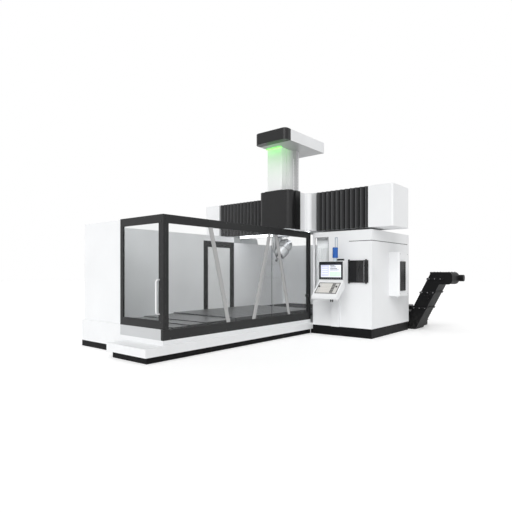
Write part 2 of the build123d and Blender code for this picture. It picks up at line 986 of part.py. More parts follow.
# Black carriage cover: a bent sheet with broad rounded corners, upright channels and a slotted top
with BuildPart() as carriage_cover:
    cover_y = (ram_axis - cover_right, ram_axis + cover_left)
    block((cover_front, cheek_front), cover_y, (carriage_bottom, carriage_top))
    fillet(carriage_cover.edges().filter_by(Axis.Z).sort_by(Axis.X)[:2], cover_round)
    inner_y = (cover_y[0] + cover_skin, cover_y[1] - cover_skin)
    with BuildSketch(Plane.XY.offset(carriage_bottom)):
        with BuildLine():
            inner_front = cover_front + cover_skin
            Polyline(
                (cheek_front, inner_y[0]),
                (inner_front, inner_y[0]),
                (inner_front, inner_y[1]),
                (cheek_front, inner_y[1]),
                close=True,
            )
        make_face()
        fillet(vertices().sort_by(Axis.X)[:2], cover_round - cover_skin)
    extrude(amount=carriage_top - carriage_bottom - cover_skin, mode=Mode.SUBTRACT)
    hole_y = (ram_right - ram_hole_play, ram_left + ram_hole_play)
    hole_x = (ram_front - ram_hole_play, cheek_front)
    block(hole_x, hole_y, (carriage_bottom, carriage_top), Mode.SUBTRACT)
    gap_x = (cover_front + gap_front, cover_front + gap_front + gap_width)
    for side, inward in ((cover_y[0], 1), (cover_y[1], -1)):
        gap_floor = side + inward * gap_depth
        back_x = (gap_x[0] - cover_skin, gap_x[1] + cover_skin)
        block(back_x, (side, gap_floor + inward * cover_skin), (carriage_bottom, carriage_top))
        block(gap_x, (side, gap_floor), (carriage_bottom, carriage_top), Mode.SUBTRACT)

# Ram with softened edges and a guide rail let into each side
with BuildPart() as ram:
    block((ram_front, ram_back), (ram_right, ram_left), (ram_bottom, ram_top))
    chamfer(ram.edges().filter_by(Axis.Z), ram_edge)
    ram_span_z = (ram_bottom, ram_top)
    channel_x = (ram_centre - ram_channel_width / 2, ram_centre + ram_channel_width / 2)
    rail_x = (ram_centre - ram_rail_width / 2, ram_centre + ram_rail_width / 2)
    for side, inward in ((ram_right, 1), (ram_left, -1)):
        channel_floor_y = side + inward * ram_channel_depth
        block(channel_x, (side, channel_floor_y), ram_span_z, Mode.SUBTRACT)
        block(rail_x, (channel_floor_y, channel_floor_y - inward * ram_rail_height), ram_span_z)

# Cap over the ram: black rounded nose, white rear part with a guide rod
cap_y = (ram_axis - cap_right, ram_axis + cap_left)
nose_back = -cap_front_reach + cap_nose
with BuildPart() as ram_cap_front:
    block((-cap_front_reach, nose_back), cap_y, (cap_bottom, cap_top))
    fillet(ram_cap_front.edges().filter_by(Axis.Z).sort_by(Axis.X)[:2], cap_round)
    chamfer(ram_cap_front.faces().sort_by(Axis.Z)[-1].edges().sort_by(Axis.X)[:-1], cap_edge)

with BuildPart() as ram_cap_rear:
    block((nose_back, cap_rear_reach), cap_y, (cap_bottom, cap_top))
    chamfer(ram_cap_rear.faces().sort_by(Axis.Z)[-1].edges().sort_by(Axis.X)[1:], cap_edge)
    with BuildSketch(Plane.XY.offset(cap_bottom)):
        with Locations((-rod_reach, ram_axis - rod_offset)):
            Circle(rod_radius)
    extrude(amount=-rod_length)

with BuildPart() as cap_light:
    light_z = (cap_bottom - status_light_height, cap_bottom)
    block((ram_front - status_light_width, ram_front), (ram_right, ram_left), light_z)
    lower_edges = cap_light.edges().filter_by(Axis.Y).group_by(Axis.Z)[0]
    chamfer(lower_edges.sort_by(Axis.X)[0], status_light_height / 2)

# Energy chain: a row of links down the ram's side
with BuildPart() as energy_chain:
    chain_span_x = (-chain_centre - chain_width / 2, -chain_centre + chain_width / 2)
    chain_span_y = (chain_y - chain_depth / 2, chain_y + chain_depth / 2)
    chain_foot = cap_bottom - chain_length
    block(chain_span_x, chain_span_y, (chain_foot, cap_bottom))
    for link in range(1, int(chain_length / chain_pitch) + 1):
        notch_z = cap_bottom - link * chain_pitch
        notch_span = (notch_z, notch_z + chain_notch)
        for edge in chain_span_y:
            cut_y = (edge - chain_notch_depth, edge + chain_notch_depth)
            block(chain_span_x, cut_y, notch_span, Mode.SUBTRACT)
        for edge in chain_span_x:
            cut_x = (edge - chain_notch_depth, edge + chain_notch_depth)
            block(cut_x, chain_span_y, notch_span, Mode.SUBTRACT)

# Turning part of the milling head: flange, crown and a yoke on the far side of the spindle housing
tilt_x = ram_centre + tilt_setback
tilt_y = ram_axis - tilt_side_shift
yoke_inner = ram_axis + yoke_face
flange_foot = ram_bottom - flange_height
with BuildPart() as head_body:
    with BuildSketch(Plane.XY.offset(flange_foot)):
        with Locations((ram_centre, ram_axis)):
            Circle(flange_radius)
    extrude(amount=flange_height)
    with BuildSketch(Plane.XY.offset(flange_foot - crown_height)):
        with Locations((ram_centre, ram_axis)):
            Circle(crown_radius)
    extrude(amount=crown_height)
    with BuildSketch(xz_plane(yoke_inner + yoke_thickness)):
        with Locations((tilt_x, tilt_z)):
            Circle(yoke_radius)
        with Locations((tilt_x, (tilt_z + flange_foot) / 2)):
            Rectangle(2 * yoke_radius, flange_foot - tilt_z)
    extrude(amount=yoke_thickness)

# Spindle axis: tilted forward and down at rest, through the yoke's cross axis
tilt_point = (tilt_x, tilt_y, tilt_z)
spindle_way = (-sin(radians(head_tilt)), 0, -cos(radians(head_tilt)))
spindle_plane = Plane(origin=tilt_point, x_dir=(0, 1, 0), z_dir=spindle_way)


def facet_taper(narrowing, run, sides):
    """Taper in degrees of flat facets whose corners come in by narrowing over a run."""
    return degrees(atan2(narrowing * cos(pi / sides), run))


# Spindle housing: a domed body of flat facets along the spindle axis, and a trunnion against the yoke
dome_turns = [radians(dome_turn * step / dome_steps) for step in range(dome_steps, -1, -1)]
housing_stations = [(-housing_back - housing_radius * sin(t), housing_radius * cos(t)) for t in dome_turns]
housing_stations += [
    (housing_shoulder, housing_radius),
    (housing_front - housing_rim, housing_nose_radius + housing_rim),
    (housing_front, housing_nose_radius),
]
with BuildPart() as head_swivel:
    for (near, near_radius), (far, far_radius) in zip(housing_stations, housing_stations[1:]):
        with BuildSketch(spindle_plane.offset(near)):
            RegularPolygon(near_radius, housing_sides)
        extrude(amount=far - near, taper=facet_taper(near_radius - far_radius, far - near, housing_sides))
    with BuildSketch(xz_plane(yoke_inner - fit_gap)):
        with Locations((tilt_x, tilt_z)):
            RegularPolygon(trunnion_radius, housing_sides)
    extrude(amount=trunnion_length)
    with BuildSketch(spindle_plane.offset(spindle_seat)):
        Circle(spindle_radius + spindle_bore_play)
    extrude(amount=housing_front - spindle_seat, mode=Mode.SUBTRACT)

# Spindle with its nose, and the holder with an end mill
nose_end = housing_front + fit_gap + spindle_nose
with BuildPart() as spindle:
    with BuildSketch(spindle_plane.offset(spindle_seat + fit_gap)):
        Circle(spindle_radius)
    extrude(amount=nose_end - spindle_seat - fit_gap)
    with BuildSketch(spindle_plane.offset(housing_front + fit_gap)):
        Circle(spindle_nose_radius)
    extrude(amount=spindle_nose)

with BuildPart() as cutter:
    with BuildSketch(spindle_plane.offset(nose_end)):
        RegularPolygon(holder_radius, cutter_sides)
    holder_taper = facet_taper(holder_radius - cutter_radius, holder_length, cutter_sides)
    extrude(amount=holder_length, taper=holder_taper)
    with BuildSketch(spindle_plane.offset(nose_end + holder_length)):
        RegularPolygon(cutter_radius, cutter_sides)
        with PolarLocations(cutter_radius, flute_count):
            RegularPolygon(flute_radius, flute_sides, mode=Mode.SUBTRACT)
    extrude(amount=cutter_length)

# Cabinet: front, side, back and roof in sheet, open towards the column, with two doors behind
with BuildPart() as cabinet_shell:
    shell_y = (-cabinet_right, -cabinet_left)
    shell_z = (cabinet_plinth_height, cabinet_top)
    block((0, cabinet_depth), shell_y, shell_z)
    block(
        (sheet_wall, cabinet_depth - sheet_wall),
        (-cabinet_right + sheet_wall, -cabinet_left),
        (cabinet_plinth_height, cabinet_top - sheet_wall),
        Mode.SUBTRACT,
    )
    roof_low = cabinet_top - sheet_wall
    column_lean = (column_foot_depth - column_head_depth) / beam_bottom
    roof_x = (bay_depth, bay_depth + column_foot_depth - column_lean * roof_low)
    roof_y = (column_right_y, -cabinet_left)
    block(roof_x, roof_y, (roof_low, cabinet_top), Mode.SUBTRACT)
    block((0, sheet_wall), (-window_right, -window_left), (window_bottom, window_top), Mode.SUBTRACT)
    hatch_hole_y = (-hatch_right + hatch_lip, -hatch_left - hatch_lip)
    block((0, sheet_wall), hatch_hole_y, (hatch_bottom + hatch_lip, hatch_top - hatch_lip), Mode.SUBTRACT)
    groove_z = (groove_height - groove_width / 2, groove_height + groove_width / 2)
    groove_right = -cabinet_right + groove_cut
    block((0, groove_cut), (-cabinet_right, -groove_start), groove_z, Mode.SUBTRACT)
    block((0, cabinet_depth - groove_end_margin), (-cabinet_right, groove_right), groove_z, Mode.SUBTRACT)

    rear_y = (-cabinet_right + rear_door_margin, -cabinet_left - rear_door_margin)
    rear_mid = (rear_y[0] + rear_y[1]) / 2
    rear_x = (cabinet_depth, cabinet_depth + rear_door_lift)
    rear_grip_mid = (rear_door_bottom + rear_door_top) / 2
    rear_grip_z = (rear_grip_mid - rear_grip_height / 2, rear_grip_mid + rear_grip_height / 2)
    for edge, turn in ((rear_y[0], -1), (rear_y[1], 1)):
        inner_edge = rear_mid + turn * rear_door_gap / 2
        block(rear_x, (edge, inner_edge), (rear_door_bottom, rear_door_top))
        grip_mid = inner_edge + turn * rear_grip_inset
        grip_y = (grip_mid - rear_grip_width / 2, grip_mid + rear_grip_width / 2)
        block((rear_x[1], rear_x[1] + rear_grip_depth), grip_y, rear_grip_z)

with BuildPart() as cabinet_window:
    glass_x = ((sheet_wall - pane_thickness) / 2, (sheet_wall + pane_thickness) / 2)
    block(glass_x, (-window_right, -window_left), (window_bottom, window_top))

# Tool hatch: framed dark panel, hinged at its right edge
hatch_back = -fit_gap
hatch_front = hatch_back - hatch_thickness
with BuildPart() as magazine_hatch:
    hatch_y = (-hatch_right, -hatch_left)
    hatch_z = (hatch_bottom, hatch_top)
    block((hatch_front, hatch_back), hatch_y, hatch_z)
    block(
        (hatch_front, hatch_front + hatch_panel_recess),
        (hatch_y[0] + hatch_frame, hatch_y[1] - hatch_frame),
        (hatch_z[0] + hatch_frame, hatch_z[1] - hatch_frame),
        Mode.SUBTRACT,
    )
    hinge_margin = hatch_frame + hatch_hinge_height
    for height in (hatch_bottom + hinge_margin, hatch_top - hinge_margin):
        with Locations((*hatch_axis, height)):
            Cylinder(hatch_hinge_radius, hatch_hinge_height)
    grip_y = hatch_y[1] + (hatch_y[0] - hatch_y[1]) * hatch_grip_share
    grip_span = (grip_y - hatch_grip_width / 2, grip_y + hatch_grip_width / 2)
    block((hatch_front - hatch_grip_depth, hatch_front + hatch_panel_recess), grip_span, hatch_z)

# Cooling unit with rounded upright edges
with BuildPart() as air_conditioner:
    cooler_y = (-cabinet_right - cooler_depth, -cabinet_right)
    block((cooler_front, cooler_rear), cooler_y, (cooler_bottom, cooler_top))
    fillet(air_conditioner.edges().filter_by(Axis.Z).sort_by(Axis.Y)[:2], cooler_round)

# Vent grille with a row of louvre slots, on the cooling unit's outer face
with BuildPart() as vent_grille:
    vent_y = (cooler_y[0] - vent_depth, cooler_y[0])
    block((vent_front, vent_rear), vent_y, (vent_bottom, vent_top))
    louvre_pitch = (vent_top - vent_bottom - 2 * vent_border) / louvre_count
    louvre_x = (vent_front + vent_border, vent_rear - vent_border)
    for slot in range(louvre_count):
        slot_low = vent_bottom + vent_border + slot * louvre_pitch
        slot_z = (slot_low, slot_low + louvre_pitch * louvre_share)
        block(louvre_x, (vent_y[0], vent_y[0] + louvre_cut), slot_z, Mode.SUBTRACT)

# Cable duct up the cabinet's front, with the arm and pin that carry the console
duct_centre = -(duct_left + duct_right) / 2
with BuildPart() as console_mount:
    block((-duct_depth, 0), (-duct_right, -duct_left), (cabinet_plinth_height, arm_top))
    arm_span = (duct_centre - arm_half_width, duct_centre + arm_half_width)
    block((-arm_reach, -duct_depth), arm_span, (arm_top - arm_height, arm_top))
    with BuildSketch(Plane.XY.offset(arm_top)):
        with Locations((-pivot_reach, duct_centre)):
            Circle(pivot_radius)
    extrude(amount=pivot_length)

# Screen housing with the bearing boss behind it
console_y = (-console_centre - console_width / 2, -console_centre + console_width / 2)
console_back = -console_face + console_thickness
with BuildPart() as console_housing:
    block((-console_face, console_back), console_y, (console_bottom, console_top))
    fillet(console_housing.edges().filter_by(Axis.X), console_edge)
    with BuildSketch(Plane.XY.offset(arm_top + fit_gap)):
        with Locations((-pivot_reach, duct_centre)):
            Circle(boss_radius)
        with Locations(((console_back - pivot_reach) / 2, duct_centre)):
            Rectangle(-pivot_reach - console_back, 2 * boss_radius)
        with Locations((-pivot_reach, duct_centre)):
            Circle(pivot_radius + pivot_play, mode=Mode.SUBTRACT)
    extrude(amount=pivot_length + console_edge)

with BuildPart() as console_screen:
    screen_x = (-console_face - screen_thickness, -console_face)
    screen_y = (console_y[0] + screen_border, console_y[1] - screen_border)
    block(screen_x, screen_y, (console_bottom + screen_border, console_top - screen_border))
    fillet(console_screen.edges().filter_by(Axis.X), screen_border / 2)

# Keyboard tray: sloped towards the operator, hung under the screen housing
tray_front = -console_face - tray_run
tray_front_height = tray_rear_height - tray_drop
with BuildPart() as keyboard_tray:
    with BuildSketch(xz_plane(console_y[1])):
        Polygon(
            (-console_face, console_bottom),
            (-console_face, tray_rear_height),
            (tray_front, tray_front_height),
            (tray_front, tray_front_height - tray_lip),
            (tray_front + tray_toe, tray_front_height - tray_lip - tray_toe_drop),
            (console_back, tray_rear_height - tray_depth),
            (console_back, console_bottom),
            align=None,
        )
    extrude(amount=console_width)

# Sloped face of the tray, with its x along the console and its y up the slope
slope_mid = (-console_face - tray_run / 2, -console_centre, tray_rear_height - tray_drop / 2)
slope_plane = Plane(origin=slope_mid, x_dir=(0, -1, 0), z_dir=(-tray_drop, 0, tray_run))
slope_length = hypot(tray_run, tray_drop)
keypad_length = slope_length - keypad_low - keypad_high
keypad_width = console_width - 2 * keypad_side
keypad_shift = (keypad_low - keypad_high) / 2
with BuildPart() as keypad:
    with BuildSketch(slope_plane):
        with Locations((0, keypad_shift)):
            Rectangle(keypad_width, keypad_length)
    extrude(amount=keypad_thickness)
    key_pitch_x = keypad_width * key_field_share / key_columns
    key_pitch_y = keypad_length / (key_rows + 1)
    with BuildSketch(slope_plane.offset(keypad_thickness)):
        with Locations((0, keypad_shift)):
            with GridLocations(key_pitch_x, key_pitch_y, key_columns, key_rows):
                Rectangle(key_pitch_x * key_share, key_pitch_y * key_share)
    extrude(amount=key_height)


def override_knob(place):
    """Knob with a broad skirt and flat grips, on the key panel beside the key field."""
    with BuildPart() as knob:
        with BuildSketch(slope_plane.offset(keypad_thickness + fit_gap)):
            with Locations((place, knob_lift)):
                RegularPolygon(knob_radius, knob_skirt_sides)
        extrude(amount=knob_skirt)
        with BuildSketch(slope_plane.offset(keypad_thickness + fit_gap + knob_skirt)):
            with Locations((place, knob_lift)):
                RegularPolygon(knob_radius * knob_top_share, knob_grip_count)
        extrude(amount=knob_height - knob_skirt)
    return knob


# Signal lamp on the console: base and lens turned about one axis, with a slim wire frame above
lamp_x = -console_face + console_thickness / 2
lamp_y = -console_centre - lamp_offset
with BuildPart() as signal_lamp:
    with BuildSketch(Plane(origin=(lamp_x, lamp_y, console_top), x_dir=(1, 0, 0), z_dir=(0, -1, 0))):
        lens_foot = lamp_base_height
        lens_head = lamp_base_height + lamp_lens_height
        base_half = min(lamp_base_radius, console_thickness / 2)
        Polygon(
            (0, 0),
            (base_half, 0),
            (base_half, lens_foot),
            (lamp_lens_radius, lens_foot),
            (lamp_lens_radius, lens_head),
            (lamp_lens_radius - lamp_lid_height, lens_head + lamp_lid_height),
            (0, lens_head + lamp_lid_height),
            align=None,
        )
    revolve(axis=Axis((lamp_x, lamp_y, console_top), (0, 0, 1)))
    rod_half = lamp_rod_width / 2
    rod_x = (lamp_x - rod_half, lamp_x + rod_half)
    rod_foot = console_top + lens_head - lamp_lid_height
    rod_head = rod_foot + lamp_rod_height
    for place in lamp_rod_places:
        block(rod_x, (lamp_y - place - rod_half, lamp_y - place + rod_half), (rod_foot, rod_head))
    bridge_y = (lamp_y - lamp_rod_places[1] - rod_half, lamp_y + rod_half)
    block(rod_x, bridge_y, (rod_head - lamp_rod_width, rod_head))

# Chip conveyor: a flat run behind the machine, a steep rise and the discharge head
rise_top_y = -conveyor_elbow - conveyor_run
rise_top_z = conveyor_height + conveyor_rise
rise_slope = conveyor_run / conveyor_rise
head_top = rise_top_z + head_lift
head_bottom = head_top - head_height
head_end_y = rise_top_y - head_length
foot_y = -conveyor_foot_end
under_y = foot_y - head_bottom * rise_slope
with BuildPart() as conveyor_housing:
    with BuildSketch(Plane.YZ.offset(rear_wall_reach)):
        with BuildLine():
            Polyline(
                (conveyor_start, 0),
                (conveyor_start, conveyor_height),
                (-conveyor_elbow, conveyor_height),
                (rise_top_y, rise_top_z),
                (rise_top_y, head_top),
                (head_end_y, head_top),
                (head_end_y, head_bottom),
                (under_y, head_bottom),
                (foot_y, 0),
                close=True,
            )
        make_face()
        fillet(vertices().sort_by(Axis.X)[:2], head_round)
    extrude(amount=conveyor_width)
    bracket_y = -conveyor_elbow - conveyor_run * bracket_share - bracket_length
    bracket_z = conveyor_height + conveyor_rise * bracket_share - bracket_height
    for face in (rear_wall_reach - bracket_depth, rear_wall_reach + conveyor_width):
        bracket_x = (face, face + bracket_depth)
        block(bracket_x, (bracket_y - bracket_length, bracket_y), (bracket_z, bracket_z + bracket_height))

    for share in flange_shares:
        band_low = conveyor_height + conveyor_rise * share
        band_high = band_low + flange_band
        upper_y = -conveyor_elbow - conveyor_rise * share * rise_slope + flange_proud
        lower_y = foot_y - band_low * rise_slope - flange_proud
        band_shift = flange_band * rise_slope
        with BuildSketch(Plane.YZ.offset(rear_wall_reach - flange_proud)):
            Polygon(
                (upper_y, band_low),
                (upper_y - band_shift, band_high),
                (lower_y - band_shift, band_high),
                (lower_y, band_low),
                align=None,
            )
        extrude(amount=conveyor_width + 2 * flange_proud)
    drive_x = rear_wall_reach + conveyor_width
    drive_y = head_end_y + head_length / 2
    drive_z = (head_top + head_bottom) / 2
    drive_half = drive_box / 2
    box_y = (drive_y - drive_half, drive_y + drive_half)
    block((drive_x, drive_x + drive_depth), box_y, (drive_z - drive_half, drive_z + drive_half))
    with BuildSketch(xz_plane(drive_y - drive_half)):
        with Locations((drive_x + drive_depth / 2, drive_z)):
            RegularPolygon(motor_radius, motor_sides)
    extrude(amount=motor_length)
    chute_y = (head_end_y + chute_margin, head_end_y + chute_margin + chute_length)
    chute_x = (rear_wall_reach + chute_margin, rear_wall_reach + conveyor_width - chute_margin)
    block(chute_x, chute_y, (head_bottom, head_bottom + chute_depth), Mode.SUBTRACT)

# Coolant tank beside the conveyor, with a lip round its lid and two pumps
tank_x = rear_wall_reach + conveyor_width
with BuildPart() as coolant_tank:
    tank_y = (-conveyor_elbow, -conveyor_elbow + tank_length)
    block((tank_x, tank_x + tank_width), tank_y, (0, tank_height - tank_lip_height))
    lid_y = (tank_y[0] - tank_lip, tank_y[1] + tank_lip)
    block((tank_x, tank_x + tank_width + tank_lip), lid_y, (tank_height - tank_lip_height, tank_height))
    for share in pump_shares:
        pump_y = tank_y[0] + tank_length * share
        pump_x = tank_x + tank_width / 2
        base_x = (pump_x - pump_base / 2, pump_x + pump_base / 2)
        base_y = (pump_y - pump_base / 2, pump_y + pump_base / 2)
        block(base_x, base_y, (tank_height, tank_height + pump_base_height))
        with BuildSketch(Plane.XY.offset(tank_height + pump_base_height)):
            with Locations((pump_x, pump_y)):
                RegularPolygon(pump_radius, pump_sides)
        extrude(amount=pump_height)

pieces = {
    "bed": bed,
    "guide_rails": guide_rails,
    "table_screw": table_screw,
    "table": table,
    "way_cover_fixed": way_cover(0),
    "way_cover_inner": way_cover(1),
    "way_cover_outer": way_cover(2),
    "way_cover_table": way_cover(3),
    "way_bellows_rear": way_bellows_rear,
    "base_plinth": base_plinth,
    "base_platform": base_platform,
    "front_wall": front_wall,
    "door_sill_panel": door_sill_panel,
    "left_wall": left_wall,
    "left_door_frame": left_door_frame,
    "left_door": left_door,
    "enclosure_frame": enclosure_frame,
    "front_door_frame": front_door_frame,
    "front_door_glass": front_door_glass,
    "front_door_handle": front_door_handle,
    "side_door_front_glass": side_door_front_glass,
    "side_door_front_bars": side_door_front_bars,
    "side_door_rear_glass": side_door_rear_glass,
    "side_door_rear_bar": side_door_rear_bar,
    "rear_guard": rear_guard,
    "left_column": left_column,
    "right_column": right_column,
    "tool_magazine": tool_magazine,
    "crossbeam": crossbeam,
    "beam_cover_left": beam_cover_left,
    "beam_cover_right": beam_cover_right,
    "bellows_left": bellows_left,
    "bellows_right": bellows_right,
    "work_light": work_light,
    "carriage_body": carriage_body,
    "carriage_cover": carriage_cover,
    "ram": ram,
    "ram_cap_front": ram_cap_front,
    "ram_cap_rear": ram_cap_rear,
    "cap_light": cap_light,
    "energy_chain": energy_chain,
    "head_body": head_body,
    "head_swivel": head_swivel,
    "spindle": spindle,
    "cutter": cutter,
    "cabinet_shell": cabinet_shell,
    "cabinet_window": cabinet_window,
    "magazine_hatch": magazine_hatch,
    "air_conditioner": air_conditioner,
    "vent_grille": vent_grille,
    "console_mount": console_mount,
    "console_housing": console_housing,
    "console_screen": console_screen,
    "keyboard_tray": keyboard_tray,
    "keypad": keypad,
    "feed_knob": override_knob(knob_places[0]),
    "spindle_knob": override_knob(knob_places[1]),
    "signal_lamp": signal_lamp,
    "conveyor_housing": conveyor_housing,
    "coolant_tank": coolant_tank,
}

for node, piece in pieces.items():
    piece.part.label = node
    export_step(piece.part, f"parts/{node}.step")
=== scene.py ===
import json
from math import pi, radians

import bmesh
import bpy
from mathutils import Matrix, Vector


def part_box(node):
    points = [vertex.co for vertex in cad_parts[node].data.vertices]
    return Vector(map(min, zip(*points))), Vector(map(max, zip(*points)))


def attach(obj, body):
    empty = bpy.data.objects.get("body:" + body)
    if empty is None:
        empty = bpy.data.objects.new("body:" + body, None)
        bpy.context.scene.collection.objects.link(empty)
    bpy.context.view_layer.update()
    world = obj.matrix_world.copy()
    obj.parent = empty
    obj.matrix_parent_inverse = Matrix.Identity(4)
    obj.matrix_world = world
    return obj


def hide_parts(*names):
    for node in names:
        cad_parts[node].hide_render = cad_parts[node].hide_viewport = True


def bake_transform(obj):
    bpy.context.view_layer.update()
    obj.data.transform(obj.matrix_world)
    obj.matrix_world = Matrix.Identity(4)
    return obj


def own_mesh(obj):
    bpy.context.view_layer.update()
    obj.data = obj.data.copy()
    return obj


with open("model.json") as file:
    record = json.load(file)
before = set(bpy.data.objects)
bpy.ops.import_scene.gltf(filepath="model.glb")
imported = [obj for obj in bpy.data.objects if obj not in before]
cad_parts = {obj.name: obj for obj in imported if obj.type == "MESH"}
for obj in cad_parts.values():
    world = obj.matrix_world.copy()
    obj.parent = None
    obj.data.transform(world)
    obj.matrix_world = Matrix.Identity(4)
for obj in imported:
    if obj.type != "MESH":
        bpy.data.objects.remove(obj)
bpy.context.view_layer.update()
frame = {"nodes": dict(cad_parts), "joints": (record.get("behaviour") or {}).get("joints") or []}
nodes = frame["nodes"]
joints = {joint["name"]: joint for joint in frame["joints"]}

# Directions: the front door looks to the front, the cabinet stands on the right
front, rear = (-1, 0, 0), (1, 0, 0)
right, left = (0, -1, 0), (0, 1, 0)
up, down = (0, 0, 1), (0, 0, -1)
leftward, rightward, forward = Vector(left), Vector(right), Vector(front)
x_axis, y_axis, z_axis = range(3)
origin = (0, 0, 0)
full_turn = 2 * pi

# Camera: eye height, heading and field read from the photograph's two vanishing points
camera_place = (-9.296, -7.261, 1.500)
camera_heading = (0.770, 0.638, 0.0)
camera_lens = 31.30
camera_sensor = 36.0
camera_shift_y = 0.03125


# Shader helpers

def new_group(name, inputs, outputs):
    """A shader node group with named sockets; returns the tree and its two end nodes."""
    tree = bpy.data.node_groups.new(name, "ShaderNodeTree")
    for label, kind, value in inputs:
        socket = tree.interface.new_socket(label, in_out="INPUT", socket_type=kind)
        socket.default_value = value
    for label, kind in outputs:
        tree.interface.new_socket(label, in_out="OUTPUT", socket_type=kind)
    return tree, tree.nodes.new("NodeGroupInput"), tree.nodes.new("NodeGroupOutput")


def feed(tree, socket, value):
    """Gives an input a number, a colour, a direction or a link from another socket."""
    if isinstance(value, (int, float)):
        socket.default_value = value
    elif isinstance(value, tuple):
        socket.default_value = (*value, 1.0) if socket.type == "RGBA" else value
    else:
        tree.links.new(value, socket)


def add_noise(tree, vector, scale, detail):
    """Noise texture on the given coordinates; returns its value socket."""
    noise = tree.nodes.new("ShaderNodeTexNoise")
    noise.inputs["Scale"].default_value = scale
    noise.inputs["Detail"].default_value = detail
    tree.links.new(vector, noise.inputs["Vector"])
    return noise.outputs["Fac"]


def add_math(tree, operation, first, second):
    """Math node between sockets or numbers; returns its value socket."""
    node = tree.nodes.new("ShaderNodeMath")
    node.operation = operation
    feed(tree, node.inputs[0], first)
    feed(tree, node.inputs[1], second)
    return node.outputs["Value"]


def add_product(tree, first, second, third):
    """Product of three values; returns its socket."""
    return add_math(tree, "MULTIPLY", add_math(tree, "MULTIPLY", first, second), third)


def add_dot(tree, vector, direction):
    """Dot product of a vector socket with a direction; returns its value socket."""
    node = tree.nodes.new("ShaderNodeVectorMath")
    node.operation = "DOT_PRODUCT"
    feed(tree, node.inputs[0], vector)
    feed(tree, node.inputs[1], direction)
    return node.outputs["Value"]


def add_range(tree, value, span, result):
    """Clamped remap of a value from one span to another; returns its socket."""
    node = tree.nodes.new("ShaderNodeMapRange")
    for label, end in zip(("From Min", "From Max", "To Min", "To Max"), (*span, *result)):
        feed(tree, node.inputs[label], end)
    tree.links.new(value, node.inputs["Value"])
    return node.outputs["Result"]


def add_mix(tree, factor, first, second, blend="MIX"):
    """Colour mix; each colour is a socket or a tuple. Returns the colour socket."""
    node = tree.nodes.new("ShaderNodeMix")
    node.data_type = "RGBA"
    node.blend_type = blend
    colour_inputs = [socket for socket in node.inputs if socket.type == "RGBA"]
    feed(tree, node.inputs[0], factor)
    feed(tree, colour_inputs[0], first)
    feed(tree, colour_inputs[1], second)
    return [socket for socket in node.outputs if socket.type == "RGBA"][0]


def add_grey(tree, value):
    """Grey with the same value in each channel; returns the colour socket."""
    node = tree.nodes.new("ShaderNodeCombineColor")
    for channel in node.inputs:
        tree.links.new(value, channel)
    return node.outputs["Color"]


def split_axes(tree, vector):
    """The X, Y and Z of a vector socket."""
    node = tree.nodes.new("ShaderNodeSeparateXYZ")
    tree.links.new(vector, node.inputs["Vector"])
    return node.outputs


def object_coordinates(tree):
    """Coordinates that stay with the piece; returns their socket."""
    return tree.nodes.new("ShaderNodeTexCoord").outputs["Object"]


def surface_normal(tree):
    """Normal of the surface; returns its socket."""
    return tree.nodes.new("ShaderNodeNewGeometry").outputs["Normal"]


colour_kind, float_kind, vector_kind = "NodeSocketColor", "NodeSocketFloat", "NodeSocketVector"
white, black = (1.0, 1.0, 1.0), (0.0, 0.0, 0.0)
none_to_all, all_to_none = (0.0, 1.0), (1.0, 0.0)
middle_noise = (0.3, 0.7)


# Effects that the finishes share

def build_paint_film():
    """Sprayed paint: slow tone drift, fine orange peel and uneven gloss."""
    tree, start, end = new_group(
        "paint_film",
        [("Colour", colour_kind, (*white, 1.0)), ("Drift", float_kind, 0.04),
         ("Gloss Loss", float_kind, 0.35), ("Peel", float_kind, 160.0)],
        [("Colour", colour_kind), ("Roughness", float_kind), ("Height", float_kind)],
    )
    place = object_coordinates(tree)
    cloud = add_noise(tree, place, scale=1.3, detail=4.0)
    darkest = add_math(tree, "SUBTRACT", 1.0, start.outputs["Drift"])
    tone = add_grey(tree, add_range(tree, cloud, middle_noise, (darkest, 1.0)))
    colour = add_mix(tree, 1.0, start.outputs["Colour"], tone, "MULTIPLY")
    smear = add_noise(tree, place, scale=7.0, detail=5.0)
    gloss_spread = add_range(tree, smear, (0.25, 0.75), (-0.06, 0.06))
    rough = add_math(tree, "ADD", start.outputs["Gloss Loss"], gloss_spread)
    peel = tree.nodes.new("ShaderNodeTexNoise")
    tree.links.new(place, peel.inputs["Vector"])
    tree.links.new(start.outputs["Peel"], peel.inputs["Scale"])
    tree.links.new(colour, end.inputs["Colour"])
    tree.links.new(rough, end.inputs["Roughness"])
    tree.links.new(peel.outputs["Fac"], end.inputs["Height"])
    return tree


def build_shop_dust():
    """Fine chip dust that settles on upward faces and splashes up from the floor."""
    tree, start, end = new_group(
        "shop_dust",
        [("Settled", float_kind, 0.2), ("Splash", float_kind, 0.2), ("Splash Height", float_kind, 0.5)],
        [("Mask", float_kind)],
    )
    level_faces, drift_noise, spot_noise = (0.4, 0.95), (0.35, 0.7), (0.42, 0.72)
    place = object_coordinates(tree)
    upward = add_range(tree, split_axes(tree, surface_normal(tree))["Z"], level_faces, none_to_all)
    drifts = add_range(tree, add_noise(tree, place, scale=5.0, detail=6.0), drift_noise, none_to_all)
    settled = add_product(tree, upward, drifts, start.outputs["Settled"])
    low = add_range(tree, split_axes(tree, place)["Z"], (0.0, start.outputs["Splash Height"]), all_to_none)
    spots = add_range(tree, add_noise(tree, place, scale=14.0, detail=6.0), spot_noise, none_to_all)
    splash = add_product(tree, low, spots, start.outputs["Splash"])
    tree.links.new(add_math(tree, "MAXIMUM", settled, splash), end.inputs["Mask"])
    return tree


